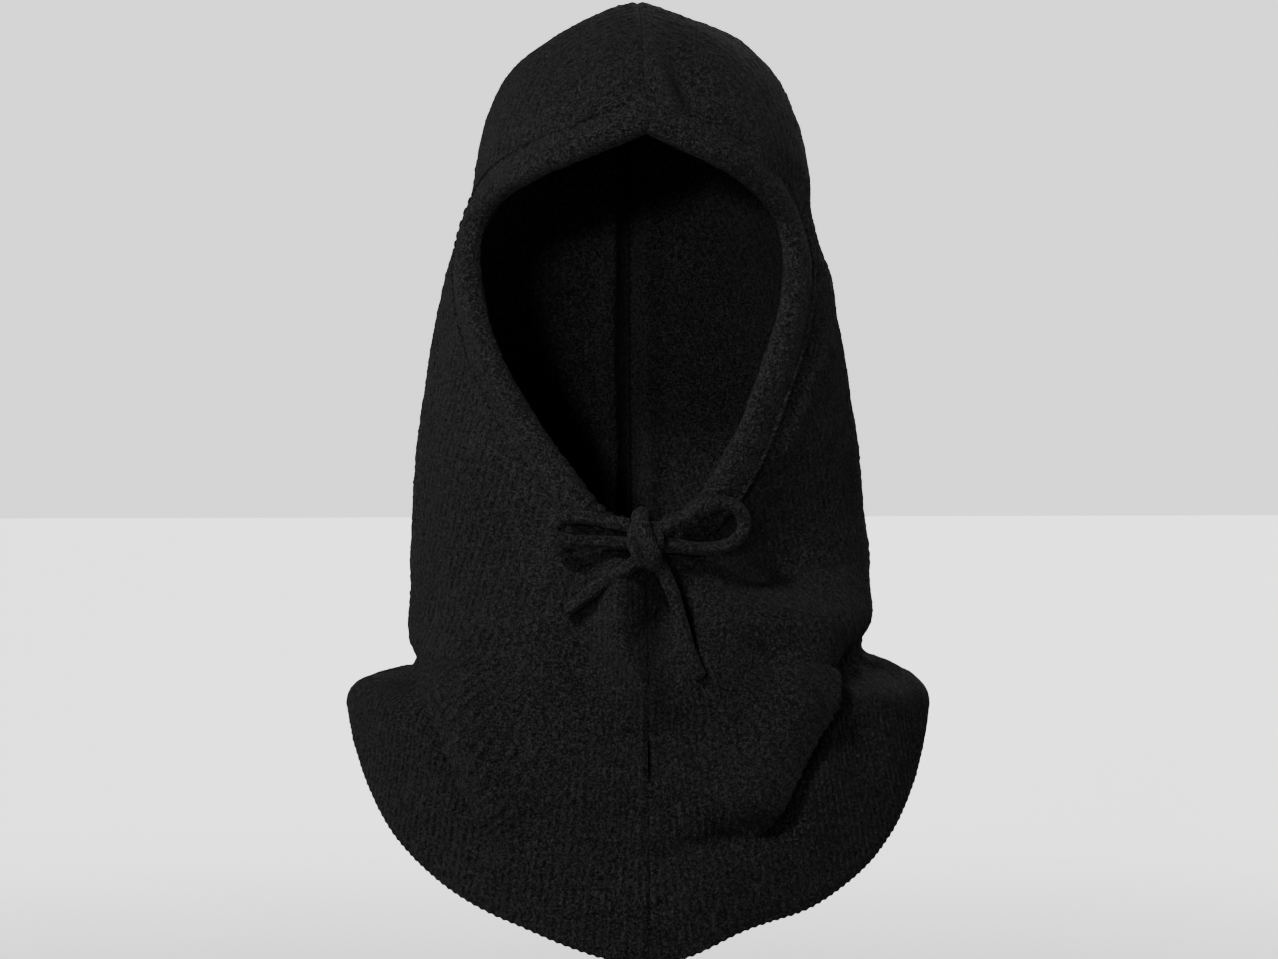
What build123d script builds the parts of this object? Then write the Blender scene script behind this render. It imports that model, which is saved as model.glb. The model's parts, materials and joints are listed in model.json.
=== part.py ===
from build123d import *
import math
import os

# Hooded knit balaclava: a soft hood with a pointed crown, a loose neck and a round bib,
# worn shape, with a drawstring in a casing round the face, tied in a bow at the throat.
# Millimetres. +Z up, -Y is the face side. Origin: underside of the crown, where the top
# of the wearer's head touches it.

# ---------------------------------------------------------------- driving dimensions
FABRIC = 3.6            # knit thickness
CROWN_HEIGHT = 463.0    # hem to crown point, outside
SEAM_GAP = 1.6          # width of a linked seam between two halves
CASING_R = 7.4          # outside radius of the turned casing
CHANNEL_R = 3.9         # channel inside the casing
CORD_R = 3.5            # drawstring radius
STITCH_R = 0.75         # linking yarn radius
KNOT_R = 7.6            # bow knot, a capsule on a vertical axis
KNOT_HALF = 5.6         # half the length of the knot's straight part
MOVE_GAP = 0.4          # clearance between the knot and what swings on it
Z0 = CROWN_HEIGHT - FABRIC   # height of the origin above the hem

# Outside of the fabric at each height above the hem: height, half width, front, back.
# The crown closes on the last row, a small flat oval.
SHAPE = [
    (-8.0, 146.0, 139.0, 131.0),
    (30.0, 145.0, 134.0, 127.0),
    (62.0, 144.0, 128.0, 122.0),
    (90.0, 143.0, 122.0, 116.0),
    (110.0, 141.5, 117.5, 110.0),
    (124.0, 138.0, 114.5, 106.0),
    (134.0, 126.5, 112.5, 102.5),
    (144.0, 116.5, 111.0, 99.5),
    (158.0, 113.0, 108.5, 97.0),
    (182.0, 112.0, 102.0, 95.5),
    (212.0, 109.5, 94.5, 96.5),
    (242.0, 106.5, 92.5, 101.0),
    (272.0, 102.5, 94.0, 107.0),
    (302.0, 98.0, 96.5, 111.5),
    (332.0, 92.0, 98.0, 113.0),
    (362.0, 84.5, 97.0, 111.0),
    (386.5, 80.0, 94.0, 106.5),
    (406.0, 74.5, 87.0, 99.5),
    (425.3, 65.0, 74.5, 88.5),
    (440.0, 51.0, 59.0, 74.0),
    (451.0, 34.5, 42.0, 56.5),
    (458.0, 20.0, 26.0, 38.0),
    (462.0, 9.0, 12.5, 20.0),
]

# Lower edge of the bib seen from the front: half width at each height above the hem.
HEM = [
    (0.0, 0.0), (45.0, 7.6), (72.0, 18.0), (89.0, 27.6), (101.0, 37.4),
    (111.0, 47.0), (119.0, 57.0), (125.5, 66.5), (130.5, 76.5), (134.5, 86.5),
    (138.0, 97.0), (141.0, 108.0), (143.5, 116.0),
]

INSETS = {}


def zz(height):
    return height - Z0


def interpolate(xs, ys, x):
    # monotone cubic (Fritsch-Carlson) through the table, xs rising
    n = len(xs)
    if x <= xs[0]:
        return ys[0] + (ys[1] - ys[0]) / (xs[1] - xs[0]) * (x - xs[0])
    if x >= xs[-1]:
        return ys[-1]
    d = [(ys[i + 1] - ys[i]) / (xs[i + 1] - xs[i]) for i in range(n - 1)]
    m = [d[0]] + [0.0 if d[i - 1] * d[i] <= 0 else (d[i - 1] + d[i]) / 2 for i in range(1, n - 1)] + [d[-1]]
    for i in range(n - 1):
        if d[i] == 0:
            m[i] = m[i + 1] = 0.0
        else:
            a, b = m[i] / d[i], m[i + 1] / d[i]
            s = a * a + b * b
            if s > 9:
                t = 3 / math.sqrt(s)
                m[i], m[i + 1] = t * a * d[i], t * b * d[i]
    i = max(k for k in range(n - 1) if xs[k] <= x)
    h = xs[i + 1] - xs[i]
    t = (x - xs[i]) / h
    return (
        (2 * t**3 - 3 * t**2 + 1) * ys[i]
        + (t**3 - 2 * t**2 + t) * h * m[i]
        + (-2 * t**3 + 3 * t**2) * ys[i + 1]
        + (t**3 - t**2) * h * m[i + 1]
    )


def extent(column, height, inset=0.0):
    # half width, front or back reach of the surface that lies `inset` inside the outside
    hs = [r[0] for r in SHAPE]
    rs = [r[column] for r in SHAPE]
    if inset == 0.0:
        return interpolate(hs, rs, height)
    # walk the profile and move each point along its normal
    if (column, inset) in INSETS:
        best = INSETS[(column, inset)]
    else:
        best = INSETS[(column, inset)] = inset_profile(column, inset)
    lower = max((p for p in best if p[0] <= height), default=best[0])
    upper = min((p for p in best if p[0] >= height), default=best[-1])
    if upper[0] - lower[0] < 1e-9:
        return lower[1]
    t = (height - lower[0]) / (upper[0] - lower[0])
    return lower[1] + t * (upper[1] - lower[1])


def inset_profile(column, inset):
    hs = [r[0] for r in SHAPE]
    rs = [r[column] for r in SHAPE]
    best = []
    for k in range(0, 941):
        h = hs[0] + (hs[-1] - hs[0]) * k / 940
        r = interpolate(hs, rs, h)
        e = 0.35
        slope = (interpolate(hs, rs, min(h + e, hs[-1])) - interpolate(hs, rs, max(h - e, hs[0]))) / (
            min(h + e, hs[-1]) - max(h - e, hs[0])
        )
        n = math.hypot(1.0, slope)
        best.append((h + inset * slope / n, r - inset / n))
    return sorted(best)


def section_points(height, inset=0.0, count=16):
    a, f, b = (extent(c, height, inset) for c in (1, 2, 3))
    pts = []
    for i in range(count):
        t = 2 * math.pi * (i + 0.5) / count
        s = math.sin(t)
        pts.append((a * math.cos(t), (b if s > 0 else f) * s))
    return pts


def front_y(x, height, inset=0.0):
    a, f = extent(1, height, inset), extent(2, height, inset)
    return -f * math.sqrt(max(0.0, 1 - (x / a) ** 2))


def smooth_radii(points):
    # 0.45 of the shorter run beside each corner, over the tangent of half the turn
    out = []
    for p, q, r in zip(points, points[1:], points[2:]):
        p, q, r = Vector(*p), Vector(*q), Vector(*r)
        turn = math.radians((q - p).get_angle(r - q))
        out.append(0.45 * min((q - p).length, (r - q).length) / math.tan(turn / 2))
    return out


def tube_path(points):
    return FilletPolyline(*points, radius=smooth_radii(points))


# ---------------------------------------------------------------- fabric shell
HEIGHTS = [r[0] for r in SHAPE]
with BuildPart() as outside:
    for h in HEIGHTS:
        with BuildSketch(Plane.XY.offset(zz(h))):
            with BuildLine():
                Spline(*section_points(h), periodic=True)
            make_face()
    loft(ruled=True)

INNER = [-9.0] + [h for h in HEIGHTS[1:-3]] + [449.0, 455.5, 458.6]
with BuildPart() as inside:
    for h in INNER:
        with BuildSketch(Plane.XY.offset(zz(h))):
            with BuildLine():
                Spline(*section_points(h, FABRIC), periodic=True)
            make_face()
    loft(ruled=True)

# casing centre line, outside the edge of the opening by the casing's radius
CASING_PATH = [
    (-9.6, 206.5), (-21.0, 209.6), (-32.0, 219.0), (-43.2, 234.0), (-54.5, 253.5),
    (-64.5, 275.5), (-73.0, 297.0), (-78.3, 318.0), (-79.3, 338.5), (-74.6, 357.5),
    (-64.0, 373.0), (-48.5, 384.5), (-29.5, 393.6), (0.0, 406.4),
]
HALF = [(x, front_y(x, h, FABRIC / 2), zz(h)) for x, h in CASING_PATH]
FULL = HALF + [(-x, y, z) for x, y, z in reversed(HALF[:-1])]


def surface_frame(p, ahead, behind):
    # along the casing, out of the fabric, and away from the opening along the fabric
    h, e = p[2] + Z0, 1.0
    y = front_y(p[0], h, FABRIC / 2)
    du = Vector(e, front_y(p[0] + e, h, FABRIC / 2) - y, 0)
    dv = Vector(0, front_y(p[0], h + e, FABRIC / 2) - y, e)
    normal = du.cross(dv).normalized()
    if normal.Y > 0:
        normal = normal * -1
    along = (Vector(*ahead) - Vector(*behind)).normalized()
    away = along.cross(normal).normalized()
    if (Vector(*p) - Vector(0, p[1], zz(310.0))).dot(away) < 0:
        away = away * -1
    return along, normal, away


# the panel's edge lies inside the casing's wall, between the channel and the outside
EDGE_IN = 6.2
EDGE = []
for i in range(len(HALF)):
    ahead = FULL[i + 1]
    behind = FULL[i - 1] if i else (-1.0, FULL[0][1], FULL[0][2] - 0.4)
    if not i:
        ahead, behind = FULL[1], FULL[0]
    q = Vector(*HALF[i]) + surface_frame(HALF[i], ahead, behind)[2] * EDGE_IN
    EDGE.append((0.0 if i == len(HALF) - 1 else q.X, q.Z))

# the bow's knot stands in front of the casing ends
KNOT_H = 204.0
KNOT_Y = front_y(0.0, 206.5, 0.0) - CASING_R - KNOT_R + 2.0
KNOT_LOW = (0.0, KNOT_Y, zz(KNOT_H) - KNOT_HALF)    # centre of its lower round end

# everything in front of the mid plane inside the edge of the panels
with BuildPart() as opening_cut:
    with BuildSketch(Plane.XZ.offset(20.0)):
        with BuildLine():
            Spline(*EDGE)
            Spline(*[(-x, z) for x, z in EDGE])
            Line(EDGE[0], (-EDGE[0][0], EDGE[0][1]))
        make_face()
    extrude(amount=160.0)

# everything below the hem, seen from the front
with BuildPart() as hem_cut:
    with BuildSketch(Plane.XZ.offset(170.0)):
        with BuildLine():
            arc = [(-x, zz(h)) for x, h in reversed(HEM[1:])] + [(x, zz(h)) for x, h in HEM]
            curve = Spline(*arc)
            Polyline(curve @ 1, (170.0, zz(116.0)), (170.0, zz(-20.0)), (-170.0, zz(-20.0)), (-170.0, zz(116.0)), curve @ 0)
        make_face()
    extrude(amount=-340.0)

with BuildPart() as shell:
    add(outside.part)
    add(inside.part, mode=Mode.SUBTRACT)
    add(opening_cut.part, mode=Mode.SUBTRACT)
    add(hem_cut.part, mode=Mode.SUBTRACT)

# ---------------------------------------------------------------- the two knitted halves
with BuildPart() as hood_panel_left:
    add(shell.part)
    split(bisect_by=Plane.YZ.offset(-SEAM_GAP / 2), keep=Keep.BOTTOM)

with BuildPart() as hood_panel_right:
    add(hood_panel_left.part)
    mirror(about=Plane.YZ, mode=Mode.REPLACE)

# ---------------------------------------------------------------- linked seams
with BuildPart() as seam_band:
    add(shell.part)
    Box(SEAM_GAP, 400.0, 1200.0, mode=Mode.INTERSECT)
    with Locations(HALF[-1]):
        Cylinder(CASING_R, 10.0, rotation=(0, 90, 0), mode=Mode.SUBTRACT)

with BuildPart() as front_seam_yarn:
    add(seam_band.part)
    with Locations((0.0, -100.0, zz(80.0))):
        Box(10.0, 200.0, 260.0, mode=Mode.INTERSECT)

with BuildPart() as crown_seam_yarn:
    add(seam_band.part)
    with Locations((0.0, -93.0, zz(440.0))):
        Box(10.0, 200.0, 110.0, mode=Mode.INTERSECT)

with BuildPart() as back_seam_yarn:
    add(seam_band.part)
    with Locations((0.0, 107.0, 0.0)):
        Box(10.0, 200.0, 1200.0, mode=Mode.INTERSECT)

# ---------------------------------------------------------------- casing and its linking stitches
with BuildPart() as casing_ring:
    with BuildLine() as ring_line:
        tube_path(FULL)
    with BuildSketch(Plane(ring_line.line @ 0, z_dir=ring_line.line % 0)):
        Circle(CASING_R)
        Circle(CHANNEL_R, mode=Mode.SUBTRACT)
    sweep(path=ring_line.line)

with BuildPart() as face_casing_left:
    add(casing_ring.part)
    split(bisect_by=Plane.YZ, keep=Keep.BOTTOM)

with BuildPart() as face_casing_right:
    add(casing_ring.part)
    split(bisect_by=Plane.YZ, keep=Keep.TOP)


def stitch_planes(side, pitch=6.0):
    # places on the outer foot of the casing, each facing along the seam
    centre_line = ring_line.line.wires()[0]
    total = centre_line.length
    planes = []
    for i in range(int(total / 2 / pitch)):
        u = (i + 0.5) * pitch / total
        p, t = centre_line @ u, centre_line % u
        along, normal, away = surface_frame((p.X, p.Y, p.Z), tuple(p + t), tuple(p))
        q = p + away * 7.0 + normal * 2.4
        if side > 0:
            q, along = Vector(-q.X, q.Y, q.Z), Vector(-along.X, along.Y, along.Z)
        planes.append(Plane(q, z_dir=along))
    return planes


with BuildPart() as casing_stitches_left:
    with Locations(*stitch_planes(-1)):
        Cylinder(STITCH_R, 4.4)
    fillet(casing_stitches_left.edges().filter_by(GeomType.CIRCLE), 0.5)

with BuildPart() as casing_stitches_right:
    with Locations(*stitch_planes(1)):
        Cylinder(STITCH_R, 4.4)
    fillet(casing_stitches_right.edges().filter_by(GeomType.CIRCLE), 0.5)

# ---------------------------------------------------------------- drawstring
with BuildPart() as bow_knot:
    with Locations((0.0, KNOT_Y, zz(KNOT_H))):
        Cylinder(KNOT_R, 2 * KNOT_HALF)
    with Locations(KNOT_LOW, (0.0, KNOT_Y, zz(KNOT_H) + KNOT_HALF)):
        Sphere(KNOT_R)

with BuildPart() as knot_space:
    with Locations((0.0, KNOT_Y, zz(KNOT_H))):
        Cylinder(KNOT_R + MOVE_GAP, 2 * KNOT_HALF)
    with Locations(KNOT_LOW, (0.0, KNOT_Y, zz(KNOT_H) + KNOT_HALF)):
        Sphere(KNOT_R + MOVE_GAP)

LEAD = [(-3.6, KNOT_Y + 5.0, zz(206.8)), (-3.9, HALF[0][1] - 2.6, zz(206.7))]
RUN = LEAD + HALF + [(-x, y, z) for x, y, z in reversed(LEAD + HALF[:-1])]
with BuildPart() as drawstring_run:
    with BuildLine() as run_line:
        tube_path(RUN)
    with BuildSketch(Plane(run_line.line @ 0, z_dir=run_line.line % 0)):
        Circle(CORD_R)
    sweep(path=run_line.line)
    add(bow_knot.part, mode=Mode.SUBTRACT)

# Each loop and tail of the bow starts inside the knot's space and is cut back to it.
LOOP_RIGHT = [
    (1.0, KNOT_Y - 1.6, zz(207.4)), (11.0, KNOT_Y - 0.4, zz(209.6)), (21.5, KNOT_Y + 2.4, zz(214.8)),
    (32.5, KNOT_Y + 6.2, zz(219.4)), (42.5, KNOT_Y + 9.6, zz(217.6)), (48.4, KNOT_Y + 11.4, zz(209.4)),
    (45.6, KNOT_Y + 10.2, zz(200.4)), (35.5, KNOT_Y + 7.6, zz(195.4)), (23.0, KNOT_Y + 4.6, zz(196.4)),
    (11.5, KNOT_Y + 3.2, zz(199.6)), (1.0, KNOT_Y + 2.2, zz(201.2)),
]
LOOP_LEFT = [
    (-1.0, KNOT_Y - 1.6, zz(208.2)), (-11.0, KNOT_Y - 0.4, zz(209.8)), (-21.0, KNOT_Y + 4.0, zz(211.4)),
    (-31.0, KNOT_Y + 8.8, zz(212.6)), (-40.4, KNOT_Y + 12.4, zz(212.2)), (-48.4, KNOT_Y + 10.8, zz(207.6)),
    (-48.6, KNOT_Y + 3.8, zz(201.2)), (-40.6, KNOT_Y + 1.8, zz(198.6)), (-31.0, KNOT_Y + 2.2, zz(198.5)),
    (-21.0, KNOT_Y + 3.2, zz(199.6)), (-11.0, KNOT_Y + 3.4, zz(200.6)), (-1.0, KNOT_Y + 2.2, zz(201.4)),
]


def on_fabric(x, height, lift):
    return (x, front_y(x, height) - CORD_R - lift, zz(height))


TAIL_LEFT = [
    (-1.0, KNOT_Y - 0.6, zz(197.2)), (-7.0, KNOT_Y - 1.2, zz(190.8)), on_fabric(-14.6, 185.2, 3.2), on_fabric(-23.0, 179.2, 1.2),
    on_fabric(-30.6, 172.2, 1.0), on_fabric(-38.4, 166.2, 1.0),
]
TAIL_RIGHT = [
    (1.0, KNOT_Y, zz(198.0)), (6.4, KNOT_Y + 0.4, zz(190.4)), on_fabric(12.6, 181.0, 2.0), on_fabric(17.0, 168.6, 1.0),
    on_fabric(20.0, 156.0, 1.0), on_fabric(22.2, 145.4, 1.0), on_fabric(27.4, 135.6, 1.0),
]

with BuildPart() as bow_loop_right:
    with BuildLine() as line_a:
        tube_path(LOOP_RIGHT)
    with BuildSketch(Plane(line_a.line @ 0, z_dir=line_a.line % 0)):
        Circle(CORD_R)
    sweep(path=line_a.line)
    add(knot_space.part, mode=Mode.SUBTRACT)

with BuildPart() as bow_loop_left:
    with BuildLine() as line_b:
        tube_path(LOOP_LEFT)
    with BuildSketch(Plane(line_b.line @ 0, z_dir=line_b.line % 0)):
        Circle(CORD_R)
    sweep(path=line_b.line)
    add(knot_space.part, mode=Mode.SUBTRACT)

with BuildPart() as bow_tail_left:
    with BuildLine() as line_c:
        tube_path(TAIL_LEFT)
    with BuildSketch(Plane(line_c.line @ 0, z_dir=line_c.line % 0)):
        Circle(CORD_R)
    sweep(path=line_c.line)
    add(knot_space.part, mode=Mode.SUBTRACT)

with BuildPart() as bow_tail_right:
    with BuildLine() as line_d:
        tube_path(TAIL_RIGHT)
    with BuildSketch(Plane(line_d.line @ 0, z_dir=line_d.line % 0)):
        Circle(CORD_R)
    sweep(path=line_d.line)
    add(knot_space.part, mode=Mode.SUBTRACT)

for name, line in (("run", run_line), ("loop right", line_a), ("loop left", line_b), ("tail left", line_c), ("tail right", line_d)):
    print(name, "length", round(line.line.wires()[0].length, 1))
for name, points in (("loop right", LOOP_RIGHT), ("loop left", LOOP_LEFT), ("tail left", TAIL_LEFT), ("tail right", TAIL_RIGHT), ("run", RUN)):
    print(name, "radii", [round(r, 1) for r in smooth_radii(points)])

# ---------------------------------------------------------------- write the pieces
os.makedirs("parts", exist_ok=True)
PIECES = {
    "hood_panel_left": hood_panel_left,
    "hood_panel_right": hood_panel_right,
    "crown_seam_yarn": crown_seam_yarn,
    "back_seam_yarn": back_seam_yarn,
    "front_seam_yarn": front_seam_yarn,
    "face_casing_left": face_casing_left,
    "face_casing_right": face_casing_right,
    "casing_stitches_left": casing_stitches_left,
    "casing_stitches_right": casing_stitches_right,
    "drawstring_run": drawstring_run,
    "bow_knot": bow_knot,
    "bow_loop_left": bow_loop_left,
    "bow_loop_right": bow_loop_right,
    "bow_tail_left": bow_tail_left,
    "bow_tail_right": bow_tail_right,
}
for name, made in PIECES.items():
    made.part.label = name
    export_step(made.part, f"parts/{name}.step")
    print(name, "solids", len(made.part.solids()), "mm3", round(made.part.volume))
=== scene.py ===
import json
import math

import bpy
import numpy as np
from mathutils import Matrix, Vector


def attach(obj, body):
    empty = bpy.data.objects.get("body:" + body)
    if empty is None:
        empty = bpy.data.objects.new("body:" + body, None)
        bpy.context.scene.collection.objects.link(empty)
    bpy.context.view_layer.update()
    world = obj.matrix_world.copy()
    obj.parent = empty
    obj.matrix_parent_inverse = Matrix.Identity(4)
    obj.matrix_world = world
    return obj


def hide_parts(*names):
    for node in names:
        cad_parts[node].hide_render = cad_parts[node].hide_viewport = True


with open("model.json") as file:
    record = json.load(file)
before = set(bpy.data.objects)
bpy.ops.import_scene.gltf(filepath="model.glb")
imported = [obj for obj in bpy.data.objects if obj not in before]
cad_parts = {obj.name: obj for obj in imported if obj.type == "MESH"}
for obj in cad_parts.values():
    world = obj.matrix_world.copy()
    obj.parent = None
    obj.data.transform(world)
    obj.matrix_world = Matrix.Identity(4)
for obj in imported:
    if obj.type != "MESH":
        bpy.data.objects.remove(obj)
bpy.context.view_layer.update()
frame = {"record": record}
RECORD = frame["record"]
S = 0.001  # the shapes below are worked out in millimetres
Z0 = 459.4  # height of the origin above the front hem
RNG = np.random.default_rng(7)

# ------------------------------------------------------------------ camera
CAM_AZ, CAM_EL, CAM_DIST = -2.5, 3.0, 2.605
CAM_AIM = Vector((0.0, -0.020, (227.4 - Z0) * S))
CAM_LENS = 148.0


def make_camera():
    data = bpy.data.cameras.new("camera")
    data.lens = CAM_LENS
    data.sensor_width = 36.0
    cam = bpy.data.objects.new("camera", data)
    bpy.context.collection.objects.link(cam)
    az, el = math.radians(CAM_AZ), math.radians(CAM_EL)
    back = Vector((math.sin(az) * math.cos(el), -math.cos(az) * math.cos(el), math.sin(el)))
    cam.location = CAM_AIM + back * CAM_DIST
    cam.rotation_euler = (-back).to_track_quat("-Z", "Y").to_euler()
    bpy.context.scene.camera = cam
    return cam


CAMERA = make_camera()


# ------------------------------------------------------------------ small helpers
def interpolate(xs, ys, x):
    """Monotone cubic through a table, for arrays."""
    xs, ys, x = np.asarray(xs, float), np.asarray(ys, float), np.asarray(x, float)
    h = np.diff(xs)
    d = np.diff(ys) / h
    m = np.empty_like(ys)
    m[0], m[-1] = d[0], d[-1]
    m[1:-1] = np.where(d[:-1] * d[1:] <= 0, 0.0, (d[:-1] + d[1:]) / 2)
    for i in range(len(d)):
        if d[i] == 0:
            m[i] = m[i + 1] = 0.0
        else:
            a, b = m[i] / d[i], m[i + 1] / d[i]
            s = a * a + b * b
            if s > 9:
                t = 3 / math.sqrt(s)
                m[i], m[i + 1] = t * a * d[i], t * b * d[i]
    xc = np.clip(x, xs[0], xs[-1])
    i = np.clip(np.searchsorted(xs, xc, side="right") - 1, 0, len(xs) - 2)
    t = (xc - xs[i]) / h[i]
    y = (
        (2 * t**3 - 3 * t**2 + 1) * ys[i]
        + (t**3 - 2 * t**2 + t) * h[i] * m[i]
        + (-2 * t**3 + 3 * t**2) * ys[i + 1]
        + (t**3 - t**2) * h[i] * m[i + 1]
    )
    y = y + np.where(x < xs[0], (x - xs[0]) * d[0], 0.0)
    return y


def smooth(e0, e1, x):
    t = np.clip((x - e0) / (e1 - e0), 0, 1)
    return t * t * (3 - 2 * t)


def gauss(x, c, w):
    return np.exp(-(((x - c) / w) ** 2))


def noise(p, scale, seed, octaves=3):
    """Smooth value noise at points p (n, 3), about -1..1."""
    out = np.zeros(len(p))
    amp, total = 1.0, 0.0
    q = p / scale
    for o in range(octaves):
        i = np.floor(q).astype(np.int64)
        f = q - i
        f = f * f * (3 - 2 * f)
        acc = np.zeros(len(p))
        for dx in (0, 1):
            for dy in (0, 1):
                for dz in (0, 1):
                    n = (i[:, 0] + dx) * 374761393 + (i[:, 1] + dy) * 668265263 + (i[:, 2] + dz) * 2147483647 + (seed + o) * 1274126177
                    n = (n ^ (n >> 13)) * 1274126177
                    n = (n ^ (n >> 16)) & 0xFFFF
                    v = n / 32767.5 - 1.0
                    w = (
                        np.where(dx, f[:, 0], 1 - f[:, 0])
                        * np.where(dy, f[:, 1], 1 - f[:, 1])
                        * np.where(dz, f[:, 2], 1 - f[:, 2])
                    )
                    acc += w * v
        out += amp * acc
        total += amp
        amp *= 0.5
        q = q * 2.03 + 17.1
    return out / total


def to_row(p):
    """Millimetres with heights above the front hem -> metres in the row frame."""
    q = np.array(p, float)
    q[..., 2] -= Z0
    return q * S


def make_mesh(name, verts_mm, faces, attributes=None, smooth_shade=True):
    mesh = bpy.data.meshes.new(name)
    v = to_row(verts_mm).astype(np.float32)
    faces = np.asarray(faces, dtype=np.int32)
    n, k = faces.shape
    mesh.vertices.add(len(v))
    mesh.vertices.foreach_set("co", v.ravel())
    mesh.loops.add(n * k)
    mesh.loops.foreach_set("vertex_index", faces.ravel())
    mesh.polygons.add(n)
    mesh.polygons.foreach_set("loop_start", np.arange(0, n * k, k, dtype=np.int32))
    mesh.polygons.foreach_set("use_smooth", np.full(n, smooth_shade, dtype=bool))
    for key, values in (attributes or {}).items():
        a = mesh.attributes.new(key, "FLOAT", "POINT")
        a.data.foreach_set("value", np.asarray(values, np.float32).ravel())
    mesh.update(calc_edges=True)
    mesh.validate()
    obj = bpy.data.objects.new(name, mesh)
    bpy.context.collection.objects.link(obj)
    return obj


def grid_faces(nu, nv, wrap_u=False, offset=0):
    """Quads of a grid stored row by row: index = j * nu + i."""
    iu = np.arange(nu if wrap_u else nu - 1)
    jv = np.arange(nv - 1)
    i, j = np.meshgrid(iu, jv)
    i2 = (i + 1) % nu
    f = np.stack([j * nu + i, j * nu + i2, (j + 1) * nu + i2, (j + 1) * nu + i], -1)
    return f.reshape(-1, 4) + offset


# ------------------------------------------------------------------ the hood's form
SHAPE = np.array([
    (-12.0, 146.2, 140.0, 132.0),
    (30.0, 149.5, 134.0, 127.0), (62.0, 148.5, 128.0, 122.0), (90.0, 147.5, 122.0, 116.0),
    (110.0, 146.5, 117.5, 110.0), (124.0, 142.5, 114.5, 106.0), (134.0, 128.5, 112.5, 102.5),
    (143.0, 115.0, 111.0, 99.5), (158.0, 112.5, 108.5, 97.0), (182.0, 113.5, 102.0, 95.5),
    (212.0, 112.0, 94.5, 96.5), (242.0, 109.5, 92.5, 101.0), (272.0, 105.0, 94.0, 107.0),
    (302.0, 100.5, 96.5, 111.5), (332.0, 94.0, 98.0, 113.0), (362.0, 84.5, 97.0, 111.0),
    (386.5, 80.0, 94.0, 106.5), (406.0, 74.5, 87.0, 99.5), (425.3, 65.0, 74.5, 88.5),
    (440.0, 51.0, 59.0, 74.0), (451.0, 34.5, 42.0, 56.5), (458.0, 20.0, 26.0, 38.0),
    (462.0, 9.0, 12.5, 20.0), (463.6, 0.0, 0.0, 0.0),
])
HEM = np.array([
    (0.0, 2.0), (22.0, 5.4), (43.0, 12.0), (61.0, 19.0), (77.0, 25.0), (90.0, 31.5), (103.0, 39.5), (113.5, 48.0), (122.0, 57.0),
    (128.5, 66.5), (134.0, 76.5), (138.5, 86.5), (142.0, 97.0), (145.0, 108.0), (147.5, 116.0),
])
CASING_PATH = np.array([
    (-9.6, 206.5), (-21.0, 209.6), (-32.0, 219.0), (-43.2, 234.0), (-54.5, 253.5), (-64.5, 275.5),
    (-73.0, 297.0), (-78.3, 318.0), (-79.3, 338.5), (-74.6, 357.5), (-64.0, 373.0), (-48.5, 384.5),
    (-29.5, 393.6), (0.0, 406.4),
])
# the opening sits a little to the viewer's left at the cheeks
def casing_path(side):
    """The casing's centre line in one half: distance from the middle, height."""
    h = CASING_PATH[:, 1]
    bump = np.clip((h - 225) / 60, 0, 1) * np.clip((400 - h) / 26, 0, 1)
    bump = bump * bump * (3 - 2 * bump)
    return np.stack([-CASING_PATH[:, 0] + (6.0 if side < 0 else -3.0) * bump, h], -1)


FABRIC = 3.6
CASING_R = 7.4
CORD_R = 3.5
CORD_D = 6.6
KNOT_R = 7.6
KNOT_H = 204.0


def extents(h):
    return tuple(interpolate(SHAPE[:, 0], SHAPE[:, c], h) for c in (1, 2, 3))


def front_y(x, h, inset=0.0):
    a, f, _ = extents(h)
    a, f = a - inset, f - inset
    return -f * np.sqrt(np.maximum(0.0, 1 - (np.asarray(x) / a) ** 2))


KNOT_Y = -108.53


def surface(theta, h):
    """Outside of the plain form. theta 0 is the front, pi the back, to the +X side."""
    a, f, b = extents(h)
    c = np.cos(theta)
    return np.stack([a * np.sin(theta), np.where(c > 0, -f * c, -b * c), h * np.ones_like(theta)], -1)


# distance down each meridian from the top, and its inverse
N_TH, N_H, N_RHO = 181, 700, 1200
TH = np.linspace(0, np.pi, N_TH)
HH = 463.6 - (463.6 + 12.0) * (np.linspace(0, 1, N_H) ** 1.35)
_p = surface(TH[:, None] * np.ones((1, N_H)), HH[None, :] * np.ones((N_TH, 1)))
RHO = np.concatenate([np.zeros((N_TH, 1)), np.cumsum(np.linalg.norm(np.diff(_p, axis=1), axis=2), axis=1)], axis=1)
RHO_MAX = 640.0
RHO_U = np.linspace(0, RHO_MAX, N_RHO)
H_OF = np.stack([np.interp(RHO_U, RHO[j], HH, right=-12.0) for j in range(N_TH)])


def height_at(theta, rho):
    j = np.clip(theta / np.pi * (N_TH - 1), 0, N_TH - 1.0001)
    m = np.clip(rho / RHO_MAX * (N_RHO - 1), 0, N_RHO - 1.0001)
    j0, m0 = j.astype(int), m.astype(int)
    fj, fm = j - j0, m - m0
    return (
        H_OF[j0, m0] * (1 - fj) * (1 - fm) + H_OF[j0 + 1, m0] * fj * (1 - fm)
        + H_OF[j0, m0 + 1] * (1 - fj) * fm + H_OF[j0 + 1, m0 + 1] * fj * fm
    )


def rho_at(theta, h):
    j = np.clip(theta / np.pi * (N_TH - 1), 0, N_TH - 1.0001)
    j0 = j.astype(int)
    fj = j - j0
    r0 = np.array([np.interp(-hh, -HH, RHO[a]) for hh, a in zip(h, j0)])
    r1 = np.array([np.interp(-hh, -HH, RHO[a + 1]) for hh, a in zip(h, j0)])
    return r0 * (1 - fj) + r1 * fj


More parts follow.
